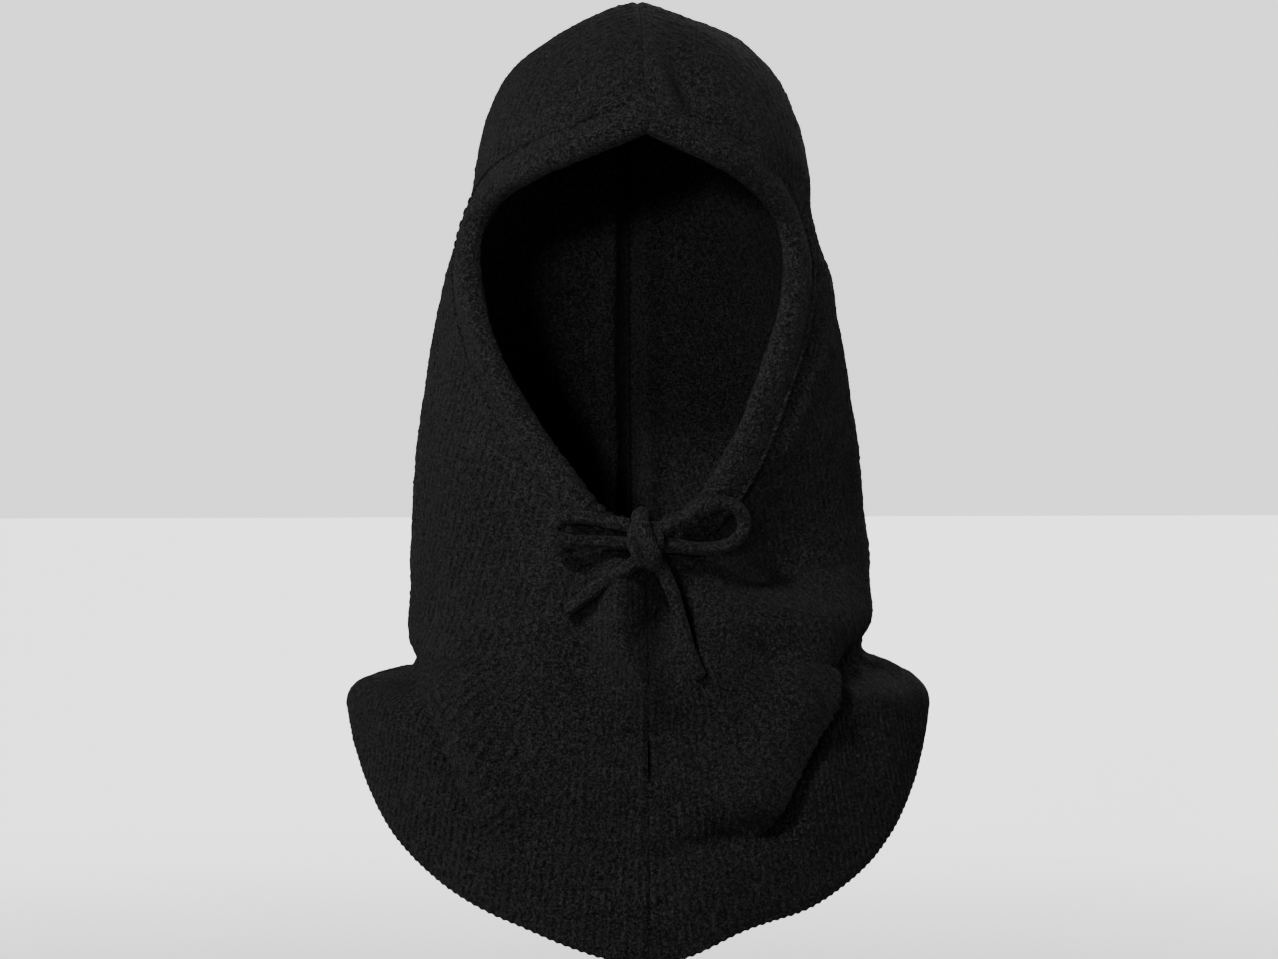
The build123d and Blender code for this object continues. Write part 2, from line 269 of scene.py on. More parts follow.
def hem_curve(n):
    """n points along the half hem, front to back, evenly spaced: theta, height, 3D point."""
    th = np.linspace(0, np.pi, 721)
    h = np.full_like(th, 60.0)
    for _ in range(60):
        a = extents(h)[0]
        x = np.minimum(a * np.sin(th), 147.5)
        target = interpolate(HEM[:, 0], HEM[:, 1], x)
        h = h * 0.6 + target * 0.4
    # the sides: let the hem pass smoothly over the shoulder
    p = surface(th, h)
    s = np.concatenate([[0], np.cumsum(np.linalg.norm(np.diff(p, axis=0), axis=1))])
    u = np.linspace(0, s[-1], n)
    return np.interp(u, s, th), np.interp(u, s, h), s[-1]


# ------------------------------------------------------------------ ribs as lines from the spine to the hem
RIB_AMP = 0.62        # height of a rib
N_RIB = 118          # ribs in each half
PER_RIB = 6          # columns across a rib
NV = 340             # rows along a rib
APEX_RHO = -104.0    # the point of the face opening, on the flattened plan
BACK_END = 372.0     # where the last rib leaves the back seam
W0 = 0.20            # ribs before this one start below the opening


def plan_grid():
    nu = N_RIB * PER_RIB + 1
    w = np.linspace(0, 1, nu)
    t = np.linspace(0, 1, NV)
    hth, hh, hem_len = hem_curve(nu)
    hr = rho_at(hth, hh)
    B = np.stack([hr * np.sin(hth), -hr * np.cos(hth)], -1)
    k = np.clip((w - W0) / (1 - W0), 0, 1)
    k = k + 0.0 * k
    k = np.where(k < 0.06, k * k / 0.12, k - 0.03) / 0.97
    ya = APEX_RHO + (BACK_END - APEX_RHO) * k
    A = np.stack([np.zeros(nu), ya], -1)
    ang = np.interp(ya, [-104, 0, 100, 200, 300, 372], [-24, 0, 12, 40, 60, 76])
    fan = np.clip(w / W0, 0, 1)
    ang = np.where(w < W0, -90 + (90 - 24) * fan ** 0.85, ang)
    TA = np.stack([np.cos(np.radians(ang)), np.sin(np.radians(ang))], -1)
    TB = np.stack([np.sin(hth), -np.cos(hth)], -1)
    # lean the ends so that they cross the hem squarely on the real surface
    P = surface(hth, hh)
    T = np.gradient(P, axis=0)
    T /= np.linalg.norm(T, axis=1)[:, None]
    e = 0.5
    down = surface(hth, hh - e) - P
    down /= np.linalg.norm(down, axis=1)[:, None]
    side = np.stack([np.cos(hth), np.sin(hth), 0 * hth], -1)
    side -= (side * down).sum(1)[:, None] * down
    side /= np.linalg.norm(side, axis=1)[:, None]
    cd, cs = (T * down).sum(1), (T * side).sum(1)
    r_real = np.hypot(P[:, 0], P[:, 1])
    lateral = -cd * (hr / np.maximum(r_real, 1))
    radial = cs
    rad_dir = np.stack([np.sin(hth), -np.cos(hth)], -1)
    lat_dir = np.stack([np.cos(hth), np.sin(hth)], -1)
    sq = radial[:, None] * rad_dir + lateral[:, None] * lat_dir
    sq /= np.linalg.norm(sq, axis=1)[:, None]
    TB = 0.45 * TB + 0.55 * sq
    TB /= np.linalg.norm(TB, axis=1)[:, None]
    L = np.linalg.norm(B - A, axis=1)
    T0 = TA * (L * 1.05)[:, None]
    T1 = TB * (L * 0.95)[:, None]
    tt = t[:, None, None]
    Q = (
        (2 * tt**3 - 3 * tt**2 + 1) * A[None] + (tt**3 - 2 * tt**2 + tt) * T0[None]
        + (-2 * tt**3 + 3 * tt**2) * B[None] + (tt**3 - tt**2) * T1[None]
    )
    Q[..., 0] = np.maximum(Q[..., 0], 0.0)
    th = np.arctan2(Q[..., 0], -Q[..., 1])
    rho = np.hypot(Q[..., 0], Q[..., 1])
    th[:, 0] = np.where(Q[:, 0, 1] < 0, 0.0, np.pi)
    th[:, -1] = np.where(Q[:, -1, 1] < 0, 0.0, np.pi)
    h = height_at(th, rho)
    return w, t, th, rho, h, hem_len


# the edge where the neck hangs over the bib, front to back: theta (degrees), height, strength
FOLD = {
    -1: np.array([
        (27, 50, 0.0), (30.0, 57, 0.30), (33.5, 66.6, 0.85), (38.2, 81, 1.0), (46.6, 109.5, 1.0), (57, 127, 1.0),
        (68, 136, 0.9), (80, 141, 0.75), (100, 145, 0.55), (140, 144, 0.35), (180, 142, 0.3)], float),
    1: np.array([
        (18.5, 54, 0.0), (21.0, 60, 0.30), (24.5, 70, 0.85), (28.6, 87, 1.0), (37.5, 115, 1.0), (49, 132, 1.0),
        (62, 142, 0.95), (78, 146, 0.75), (100, 147, 0.55), (140, 145, 0.35), (180, 142, 0.3)], float),
}
FOLD_LEN = 120.0  # mm of girth per radian, for distances from the fold's edge


def fold_distance(side, th, h):
    """Signed distance above the fold's edge, unit direction (girth, height) away from it, and strength."""
    tab = FOLD[side]
    U, Hh, F = np.radians(tab[:, 0]) * FOLD_LEN, tab[:, 1], tab[:, 2]
    s = np.concatenate([[0], np.cumsum(np.hypot(np.diff(U), np.diff(Hh)))])
    k = np.linspace(0, s[-1], 90)
    pu, ph, pf = interpolate(s, U, k), interpolate(s, Hh, k), np.interp(k, s, F)
    tu, tv = np.gradient(pu), np.gradient(ph)
    m = np.hypot(tu, tv)
    nu_, nh_ = -tv / m, tu / m
    u = th * FOLD_LEN
    best = np.full(u.shape, 1e9)
    idx = np.zeros(u.shape, int)
    for i in range(len(k)):
        d = (u - pu[i]) ** 2 + (h - ph[i]) ** 2
        w = d < best
        best[w] = d[w]
        idx[w] = i
    sd = (u - pu[idx]) * nu_[idx] + (h - ph[idx]) * nh_[idx]
    off = np.sqrt(best)
    beyond = np.clip((off - np.abs(sd)) / 10.0, 0, 1)  # past the front end of the edge
    return sd, nu_[idx], nh_[idx], pf[idx] * (1 - beyond)


def casing_distance(side, x, h):
    """Distance in the front view from the casing's centre line, mm; x is measured towards the half's own side."""
    path = casing_path(side)
    P, _ = resample(np.stack([path[:, 0], path[:, 1], np.zeros(len(path))], -1), 5.0)
    best = np.full(np.shape(x), 1e9)
    for px, ph, _z in P:
        best = np.minimum(best, (x - px) ** 2 + (h - ph) ** 2)
    return np.sqrt(best)


def form(side, th, h):
    """The soft outside form of one half: plain form plus folds, hollows and sag. Returns points (..., 3)."""
    p = surface(th, h)
    e = 0.6
    pu = surface(th + 0.004, h)
    pd = surface(th, h - e)
    n = np.cross(pd - p, pu - p)
    n /= np.maximum(np.linalg.norm(n, axis=-1), 1e-9)[..., None]
    flip = np.sign((n * p * np.array([1, 1, 0])).sum(-1))
    n = n * np.where(flip == 0, 1, flip)[..., None]
    top = h > 462.5
    n = np.where(top[..., None], np.array([0, 0, 1.0]), n)
    down = pd - p
    down /= np.maximum(np.linalg.norm(down, axis=-1), 1e-9)[..., None]
    across = pu - p
    across /= np.maximum(np.linalg.norm(across, axis=-1), 1e-9)[..., None]
    x = p[..., 0] * side
    cs = np.cos(th)
    front = np.clip(cs, 0, 1) ** 0.5
    back = np.clip(-cs, 0, 1)

    # neck hanging over the bib: a lip that reaches out over a valley
    sd, gu, gh, fs = fold_distance(side, th, h)
    deg = np.degrees(th)
    mid = gauss(deg, 43.0, 13.0)
    d = sd - fs * (7.0 + (9.0 if side < 0 else 3.0) * mid)
    lip = 1 - (0.55 if side < 0 else 0.35) * smooth(50, 84, deg)
    out = fs * (7.5 * lip * gauss(d, 8.0, 12.0) - 5.5 * gauss(d, -7.0, 8.0))
    ends = 1 - 0.8 * smooth(40, 62, deg) if side > 0 else 1.0
    slip = fs * lip * ends * 11.0 * smooth(-3.5, 2.0, d) * np.exp(-np.maximum(d - 2.0, 0) / 9.0)
    slide = (-gu * slip)[..., None] * across + (gh * slip)[..., None] * down

    cheek = 188.0 + 0.06 * (x - 64.0)
    # centre front: a pleat under the bow, hollows beside and below it
    out = out + front * (
        9.5 * gauss(x, -13.0 + 0.55 * np.maximum(0, 154 - h), 8.5) * smooth(112, 136, h) * (1 - smooth(182, 202, h))
        - 17.0 * gauss(x, 12.0, 12.5) * gauss(h, 168.0, 19.0)
        - 6.0 * gauss(x, 12.0, 24.0) * gauss(h, 110.0, 13.0)
        - 4.0 * gauss(x, -30.0, 12.0) * gauss(h, 150.0, 34.0)
        + 3.5 * gauss(x, 34.0, 26.0) * gauss(h, 142.0, 18.0)
        + 3.0 * gauss(x, 0.0, 60.0) * gauss(h, 84.0, 10.0)
        # right of the bow the neck folds in under the cheek
        + 4.0 * gauss(x, 66.0, 26.0) * gauss(h + (x - 64) * 0.25, 248.0, 14.0)
        - 21.0 * gauss(x, 76.0, 34.0) * gauss(h, cheek, np.where(h > cheek, 44.0, 14.0))
        + 8.0 * gauss(x, 78.0, 28.0) * gauss(h, cheek - 25.0, 13.0)
        # left of the bow, softer
        - 5.0 * gauss(x, -58.0, 20.0) * gauss(h, 206.0, 20.0)
        + 2.5 * gauss(x, -70.0, 24.0) * gauss(h, 160.0, 26.0)
        # lower right hollow on the bib
        - 6.0 * gauss(x, 40.0, 26.0) * gauss(h + (x - 40) * -0.25, 60.0, 8.0)
        + 3.0 * gauss(x, 30.0, 34.0) * gauss(h + (x - 40) * -0.25, 76.0, 8.0)
        + 2.5 * gauss(x, -80.0, 7.0) * gauss(h, 70.0, 9.0)
        # dent on the crown
        - 7.5 * gauss(x - (424 - h) * 0.5, 21.0, 9.0) * gauss(h, 418.0, 20.0)
        + 4.5 * gauss(x - (424 - h) * 0.35, 8.5, 6.0) * gauss(h, 424.0, 20.0)
    )
    # the back: a lengthwise fold on each side of the seam
    out = out + back * smooth(150, 210, h) * (1 - smooth(370, 420, h)) * (
        -3.5 * gauss(x, -22.0, 13.0) - 2.5 * gauss(x, 26.0, 16.0))
    # the two sides are not alike
    beside = smooth(50, 78, deg) * (1 - smooth(110, 150, deg))
    rim = casing_distance(side, np.abs(p[..., 0]), h) + np.where(cs > 0, 0, 500.0)
    out = out - (0.3 if side < 0 else 0.5) * gauss(rim, 12.0, 2.6)
    if side > 0:
        out = out + 1.6 * gauss(rim, 20.0, 3.4) * smooth(225, 260, h) * (1 - smooth(350, 385, h))
        out = out - front * 7.0 * gauss(x, 108.0, 17.0) * gauss(h, 108.0, 22.0)
        out = out + beside * (4.0 * gauss(h, 186.0, 24.0) + 4.5 * smooth(330, 390, h) * (1 - smooth(440, 462, h)))
        out = out + (1 - smooth(100, 150, deg)) * (1 - beside) * smooth(20, 50, deg) * 3.0 * smooth(340, 400, h) * (1 - smooth(445, 462, h))
    else:
        out = out - beside * 7.0 * gauss(h, 137.0, 7.0)
    q = p + n * out[..., None] + slide
    # loose unevenness, different on each half
    flat = (q * np.array([side, 1, 1])).reshape(-1, 3)
    wob = noise(flat, 60.0, 11, 2).reshape(out.shape) * 1.5 + noise(flat, 24.0, 23, 2).reshape(out.shape) * 0.6
    if side > 0:
        q[..., 2] += 4.2 * gauss(x, 46.0, 24.0) * (1 - smooth(10, 50, h)) * (cs > 0)
    fade = smooth(3, 14, np.abs(p[..., 0]))
    q = q + n * (wob * (0.35 + 0.65 * fade))[..., None]
    return q


def grid_normals(q):
    du = np.gradient(q, axis=1)
    dv = np.gradient(q, axis=0)
    n = np.cross(dv, du)
    n /= np.maximum(np.linalg.norm(n, axis=-1), 1e-9)[..., None]
    return n


def in_opening(side, x, h):
    """True inside the casing's centre line, seen from the front."""
    poly = np.concatenate([casing_path(side), [[-9.0, 406.4], [-9.0, 201.0], [9.6, 201.0]]])
    inside = np.zeros(x.shape, bool)
    j = len(poly) - 1
    for i in range(len(poly)):
        xi, yi = poly[i]
        xj, yj = poly[j]
        if yi != yj:
            c = ((yi > h) != (yj > h)) & (x < (xj - xi) * (h - yi) / (yj - yi) + xi)
            inside ^= c
        j = i
    return inside


PLAN = plan_grid()


def make_panel(side, name):
    w, t, th, rho, h, hem_len = PLAN
    q = form(side, th, h)
    # opening: a finer, smooth relief close to the casing isn't needed, it covers the edge
    n = grid_normals(q)
    n = n * np.sign((n * (q - np.array([0, 10, 250]))).sum(-1).mean())
    n[0] = (0, 0, 1)
    ns = n.copy()
    for _ in range(3):
        ns[1:-1] = (ns[:-2] + ns[1:-1] + ns[2:]) / 3
    ns /= np.linalg.norm(ns, axis=-1)[..., None]
    col = w * N_RIB
    # real spacing of the ribs, so that a rib squeezed near the seam gets shallower
    pitch = np.linalg.norm(np.gradient(q, axis=1), axis=-1) * PER_RIB
    along = np.concatenate([np.zeros((1, q.shape[1])), np.cumsum(np.linalg.norm(np.diff(q, axis=0), axis=2), axis=0)], axis=0)
    flat = (q * np.array([side, 1, 1])).reshape(-1, 3)
    shape = h.shape
    drift = noise(flat, 30.0, 41, 2).reshape(shape) * 0.22
    phase = col[None, :] + drift
    ridge = 0.5 + 0.5 * np.cos(2 * np.pi * phase)
    # on the neck the ribs lean outwards on their way down, and end under the fold
    lean = 0.24 if side < 0 else 0.42
    sdist, _u, _v, fstr = fold_distance(side, th, h)
    neck = smooth(2, 9, sdist) * (1 - smooth(300, 350, h)) * smooth(10, 26, np.degrees(th)) * (1 - smooth(140, 165, np.degrees(th)))
    neck = neck * smooth(62, 92, h)
    phase_neck = (th * 105.0 + lean * (h - 300.0)) / 4.5 + drift
    ridge_neck = 0.5 + 0.5 * np.cos(2 * np.pi * phase_neck)
    ridge = ridge * (1 - neck) + ridge_neck * neck
    phase = np.where(neck > 0.5, phase_neck, phase)
    felt = 0.80 + 0.20 * noise(flat, 16.0, 5, 2).reshape(shape)
    soft = smooth(2.2, 4.2, pitch)
    crown = 1 - 0.45 * smooth(330, 400, h)
    # felted flat and pulled smooth in the hollow under the bow
    throat = gauss(q[..., 0] * side, 8.0, 17.0) * smooth(112, 134, h) * (1 - smooth(200, 222, h)) * (np.cos(th) > 0)
    amp = RIB_AMP * soft * felt * crown * (1 - 0.85 * throat)
    stitch = 0.16 * np.cos(2 * np.pi * (along / 3.4 + 0.35 * np.cos(2 * np.pi * phase))) * soft
    lump = noise(flat, 2.3, 77, 2).reshape(shape) * 0.42 + noise(flat, 6.5, 78, 2).reshape(shape) * 0.30
    gap = np.linalg.norm(np.gradient(q, axis=1), axis=-1)
    lump += RNG.normal(0.0, 0.10, shape) * smooth(0.15, 0.6, gap)
    relief = amp * (ridge - 0.5) + stitch * 0.5 + lump
    # the seams: each half rolls in to the seam line
    sx = q[..., 0]
    relief = relief * (0.12 + 0.88 * smooth(0.4, 3.2, sx))
    roll = (1 - 0.95 * throat) * (-0.5 * np.exp(-((sx / 0.8) ** 2)) + 0.45 * np.exp(-(((sx - 3.2) / 2.2) ** 2)))
    hem_edge = smooth(0.0, 5.0, along[-1][None, :] - along)
    relief = relief * (0.35 + 0.65 * hem_edge) - 0.9 * (1 - hem_edge)
    outer = q + ns * (relief + roll)[..., None]
    inner_relief = -amp * 0.7 * (ridge**0.8 - 0.5) + lump * 0.8
    thick = FABRIC - 0.6 - 1.3 * (1 - hem_edge)
    # inside, the fabric rolls up to the back seam, more on the left half
    behind = np.clip(-np.cos(th), 0, 1) * smooth(150, 200, h) * (1 - smooth(385, 425, h))
    sxi = sx * side
    valley = behind * (2.4 * np.exp(-((sx / 3.6) ** 2)) - 9.5 * gauss(sxi, -12.0, 6.5) - 5.0 * gauss(sxi, 11.5, 6.0))
    inner = q - ns * (thick + inner_relief * 0.8 - valley * (q[..., 1] > 0))[..., None]
    # keep each half on its own side of the mid plane
    on_seam = q[..., 0] < 0.05
    outer[..., 0] = np.where(on_seam, 0.03, np.maximum(outer[..., 0], 0.03))
    inner[..., 0] = np.where(on_seam, 0.03, np.maximum(inner[..., 0], 0.03))
    # hem edge: small bumps where the ribs end
    outer[-1, :, 2] -= 0.7 * ridge[-1]
    inner[-1, :, 2] -= 0.7 * ridge[-1]
    nv, nu = shape
    faces = grid_faces(nu, nv)
    cx = q[..., 0].ravel()[faces].mean(1)
    ch = q[..., 2].ravel()[faces].mean(1)
    cy = q[..., 1].ravel()[faces].mean(1)
    keep = ~((cy < 0) & in_opening(side, cx, ch))
    # area of each face (not used further)
    a = q.reshape(-1, 3)[faces]
    area = np.linalg.norm(np.cross(a[:, 2] - a[:, 0], a[:, 3] - a[:, 1]), axis=1) / 2
    faces = faces[keep]
    m = nv * nu
    # edges used once are the rim: bridge the two skins there
    e = np.concatenate([faces[:, [0, 1]], faces[:, [1, 2]], faces[:, [2, 3]], faces[:, [3, 0]]])
    key = np.minimum(e[:, 0], e[:, 1]).astype(np.int64) * m + np.maximum(e[:, 0], e[:, 1])
    uniq, idx, cnt = np.unique(key, return_index=True, return_counts=True)
    rim = e[idx[cnt == 1]]
    bridge = np.stack([rim[:, 1], rim[:, 0], rim[:, 0] + m, rim[:, 1] + m], -1)
    allf = np.concatenate([faces, faces[:, ::-1] + m, bridge])
    verts = np.concatenate([outer.reshape(-1, 3), inner.reshape(-1, 3)])
    used = np.zeros(len(verts), bool)
    used[allf.ravel()] = True
    remap = np.cumsum(used) - 1
    verts = verts[used]
    allf = remap[allf]
    if side < 0:
        verts = verts * np.array([-1, 1, 1])
    else:
        allf = allf[:, ::-1]
    # the rib crest; the materials also paint shade into the furrows from it
    rib = np.concatenate([(ridge).ravel(), (ridge).ravel()])[used]
    col_a = np.concatenate([phase.ravel(), phase.ravel()])[used]
    row_a = np.concatenate([along.ravel(), along.ravel()])[used]
    skin = np.concatenate([np.zeros(m), np.ones(m)])[used]
    obj = make_mesh(name, verts, allf, {"rib": rib, "wale": col_a, "course": row_a, "inside": skin})
    # outward faces
    return obj, q, ns


# ------------------------------------------------------------------ tubes that follow a line
def frames_along(P, up=(0, -1, 0)):
    """Unit tangents and two side directions along points P, turning as little as possible."""
    T = np.gradient(P, axis=0)
    T /= np.linalg.norm(T, axis=1)[:, None]
    N = np.zeros_like(T)
    u = np.array(up, float)
    n = u - T[0] * (u @ T[0])
    N[0] = n / np.linalg.norm(n)
    for i in range(1, len(P)):
        n = N[i - 1] - T[i] * (N[i - 1] @ T[i])
        N[i] = n / np.linalg.norm(n)
    return T, N, np.cross(T, N)


def resample(P, step):
    P = np.asarray(P, float)
    s = np.concatenate([[0], np.cumsum(np.linalg.norm(np.diff(P, axis=0), axis=1))])
    n = max(3, int(round(s[-1] / step)) + 1)
    u = np.linspace(0, s[-1], n)
    return np.stack([np.interp(u, s, P[:, k]) for k in range(3)], -1), u


def tube(name, P, radius, segments=40, wales=5, course=3.1, relief=0.36, seed=3, close=(True, True), flat=None, fuzz=0.34):
    """A round knitted cord along P (mm). flat = (n, 2) scale of the section along N and B."""
    T, N, B = frames_along(P)
    s = np.concatenate([[0], np.cumsum(np.linalg.norm(np.diff(P, axis=0), axis=1))])
    n = len(P)
    a = np.linspace(0, 2 * np.pi, segments, endpoint=False)
    radius = np.broadcast_to(np.asarray(radius, float), (n,))
    ph = a[None, :] * wales + 0.9 * np.sin(s[:, None] / 23.0)
    w = 0.5 + 0.5 * np.cos(ph)
    v = 0.5 + 0.5 * np.cos(2 * np.pi * s[:, None] / course + 1.9 * np.cos(ph))
    bump = relief * (0.62 * w**0.7 + 0.38 * w * v - 0.45)
    r = radius[:, None] + bump
    fl = np.ones((n, 2)) if flat is None else np.asarray(flat)
    ring = (
        P[:, None, :]
        + N[:, None, :] * (np.cos(a)[None, :] * r * fl[:, :1])[..., None]
        + B[:, None, :] * (np.sin(a)[None, :] * r * fl[:, 1:])[..., None]
    )
    flatp = ring.reshape(-1, 3)
    lump = noise(flatp, 1.9, seed, 2).reshape(n, segments) * fuzz + RNG.normal(0.0, 0.06, (n, segments))
    d = ring - P[:, None, :]
    ring = ring + d / np.linalg.norm(d, axis=2)[..., None] * lump[..., None]
    verts = [ring.reshape(-1, 3)]
    faces = [grid_faces(segments, n, wrap_u=True)]
    count = n * segments
    att_w = [np.broadcast_to(w, (n, segments)).ravel()]
    for end, flag in ((0, close[0]), (n - 1, close[1])):
        if not flag:
            continue
        base = end * segments
        prev = np.arange(segments) + base
        rr = ring[end]
        c = rr.mean(0)
        sign = -1 if end == 0 else 1
        last = None
        for k, (f, push) in enumerate(((0.86, 0.38), (0.6, 0.72), (0.3, 0.9))):
            cap = c + (rr - c) * f + T[end] * sign * push * radius[end] * 0.55
            verts.append(cap)
            att_w.append(np.full(segments, 0.5))
            cur = np.arange(segments) + count
            count += segments
            q = np.stack([prev, np.roll(prev, -1), np.roll(cur, -1), cur], -1)
            faces.append(q if end != 0 else q[:, ::-1])
            prev = cur
        verts.append((c + T[end] * sign * radius[end] * 0.52)[None])
        att_w.append(np.array([0.5]))
        tip = count
        count += 1
        q = np.stack([prev, np.roll(prev, -1), np.full(segments, tip), np.full(segments, tip)], -1)
        faces.append(q if end != 0 else q[:, ::-1])
    verts = np.concatenate(verts)
    faces = np.concatenate(faces)
    return verts, faces, np.concatenate(att_w)


def make_mesh_mixed(name, verts, faces, attributes=None):
    """As make_mesh, for quads of which some repeat their last corner."""
    tri = faces[:, 2] == faces[:, 3]
    quads, tris = faces[~tri], faces[tri][:, :3]
    mesh = bpy.data.meshes.new(name)
    v = to_row(verts).astype(np.float32)
    mesh.vertices.add(len(v))
    mesh.vertices.foreach_set("co", v.ravel())
    mesh.loops.add(quads.size + tris.size)
    mesh.loops.foreach_set("vertex_index", np.concatenate([quads.ravel(), tris.ravel()]).astype(np.int32))
    starts = np.concatenate([np.arange(len(quads)) * 4, quads.size + np.arange(len(tris)) * 3])
    mesh.polygons.add(len(quads) + len(tris))
    mesh.polygons.foreach_set("loop_start", starts.astype(np.int32))
    mesh.polygons.foreach_set("use_smooth", np.ones(len(starts), dtype=bool))
    for key, values in (attributes or {}).items():
        a = mesh.attributes.new(key, "FLOAT", "POINT")
        a.data.foreach_set("value", np.asarray(values, np.float32).ravel())
    mesh.update(calc_edges=True)
    mesh.validate()
    obj = bpy.data.objects.new(name, mesh)
    bpy.context.collection.objects.link(obj)
    return obj


def spline_points(points_mm, step=0.8):
    """The smooth line of a route: a NURBS spline with the route's points as its control points."""
    cu = bpy.data.curves.new("route", "CURVE")
    cu.dimensions = "3D"
    sp = cu.splines.new("NURBS")
    sp.points.add(len(points_mm) - 1)
    for p, q in zip(sp.points, points_mm):
        p.co = (q[0], q[1], q[2], 1.0)
    sp.order_u = 3
    sp.use_endpoint_u = True
    cu.resolution_u = 24
    ob = bpy.data.objects.new("route", cu)
    bpy.context.collection.objects.link(ob)
    dg = bpy.context.evaluated_depsgraph_get()
    me = bpy.data.meshes.new_from_object(ob.evaluated_get(dg))
    pts = np.array([v.co[:] for v in me.vertices])
    bpy.data.meshes.remove(me)
    bpy.data.objects.remove(ob)
    bpy.data.curves.remove(cu)
    return resample(pts, step)[0]


# ------------------------------------------------------------------ materials
def nodes_of(name):
    m = bpy.data.materials.new(name)
    m.use_nodes = True
    nt = m.node_tree
    nt.nodes.clear()
    out = nt.nodes.new("ShaderNodeOutputMaterial")
    bsdf = nt.nodes.new("ShaderNodeBsdfPrincipled")
    nt.links.new(bsdf.outputs[0], out.inputs[0])
    return m, nt, bsdf


def wool(name, dark, light, rib_shade_mix=0.16, bump=1.0, sheen=0.008, speckle=1080.0):
    """Felted wool: fine fibre speckle that is both colour and relief, soft mottling, and painted shade on the ribs:
    crests lighter, furrows darker.
    """
    m, nt, b = nodes_of(name)
    L = nt.links.new

    def noise_node(scale, detail, rough=0.6, distort=0.0):
        n = nt.nodes.new("ShaderNodeTexNoise")
        n.inputs["Scale"].default_value = scale
        n.inputs["Detail"].default_value = detail
        n.inputs["Roughness"].default_value = rough
        n.inputs["Distortion"].default_value = distort
        L(tc.outputs["Object"], n.inputs["Vector"])
        return n

    def ranged(socket, f0, f1, t0, t1):
        r = nt.nodes.new("ShaderNodeMapRange")
        r.inputs["From Min"].default_value = f0
        r.inputs["From Max"].default_value = f1
        r.inputs["To Min"].default_value = t0
        r.inputs["To Max"].default_value = t1
        L(socket, r.inputs["Value"])
        return r.outputs[0]

    def plus(a, c, op="ADD", clamp=False):
        n = nt.nodes.new("ShaderNodeMath")
        n.operation = op
        n.use_clamp = clamp
        L(a, n.inputs[0])
        if isinstance(c, float):
            n.inputs[1].default_value = c
        else:
            L(c, n.inputs[1])
        return n.outputs[0]

    tc = nt.nodes.new("ShaderNodeTexCoord")
    fibre = noise_node(speckle, 3.0, 0.75, 0.8)
    tuft = noise_node(430.0, 3.0, 0.6)
    blotch = noise_node(30.0, 3.0, 0.55)
    at = nt.nodes.new("ShaderNodeAttribute")
    at.attribute_name = "rib"
    fac = ranged(fibre.outputs["Fac"], 0.46, 0.60, -0.20, 0.88)
    fac = plus(fac, ranged(tuft.outputs["Fac"], 0.35, 0.65, -0.10, 0.20))
    fac = plus(fac, ranged(blotch.outputs["Fac"], 0.3, 0.7, -0.06, 0.06))
    # painted shade: the rib attribute lightens the rib crests and darkens the furrows between them
    fac = plus(fac, plus(at.outputs["Fac"], float(rib_shade_mix), "MULTIPLY"), clamp=True)
    mix = nt.nodes.new("ShaderNodeMix")
    mix.data_type = "RGBA"
    mix.inputs["A"].default_value = dark
    mix.inputs["B"].default_value = light
    L(fac, mix.inputs["Factor"])
    L(mix.outputs["Result"], b.inputs["Base Color"])
    L(ranged(tuft.outputs["Fac"], 0.3, 0.7, 0.88, 1.0), b.inputs["Roughness"])
    b.inputs["Specular IOR Level"].default_value = 0.02
    b.inputs["Sheen Weight"].default_value = sheen
    b.inputs["Sheen Roughness"].default_value = 0.6
    b.inputs["Sheen Tint"].default_value = (0.8, 0.8, 0.82, 1)
    last = None
    for node, dist, k in ((fibre, 0.0010, 1.0), (tuft, 0.0016, 0.8)):
        bp = nt.nodes.new("ShaderNodeBump")
        bp.inputs["Strength"].default_value = min(1.0, bump * k)
        bp.inputs["Distance"].default_value = dist
        L(node.outputs["Fac"], bp.inputs["Height"])
        if last is not None:
            L(last, bp.inputs["Normal"])
        last = bp.outputs[0]
    L(last, b.inputs["Normal"])
    return m


MAT_KNIT = wool("knit", (0.0001, 0.0001, 0.0001, 1), (0.0080, 0.0080, 0.0082, 1), rib_shade_mix=0.16)
# the casing's light colour is a little lighter than the hood's knit: a painted sheen for the lighter fuzzy edge of the
# casing
MAT_CASING_PAINTED_SHEEN = wool("casing_knit", (0.0001, 0.0001, 0.0001, 1), (0.0092, 0.0092, 0.0094, 1), rib_shade_mix=0.04)
MAT_CORD = wool("cord_knit", (0.0002, 0.0002, 0.0002, 1), (0.0095, 0.0095, 0.0097, 1), rib_shade_mix=0.12)
MAT_YARN = wool("seam_yarn", (0.0001, 0.0001, 0.0001, 1), (0.0045, 0.0045, 0.0046, 1), rib_shade_mix=0.0)


def finish_piece(obj, body, material, slot, *replaced):
    obj.data.materials.append(material)
    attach(obj, body)
    if replaced:
        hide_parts(*replaced)
    return obj


# ------------------------------------------------------------------ cords of the bow (points repeated from the CAD route)
def Kf(dx, dy, h):
    return (dx, KNOT_Y + dy, h)


def on_fabric(x, h, lift):
    return (x, float(front_y(x, h)) - CORD_R - lift, h)


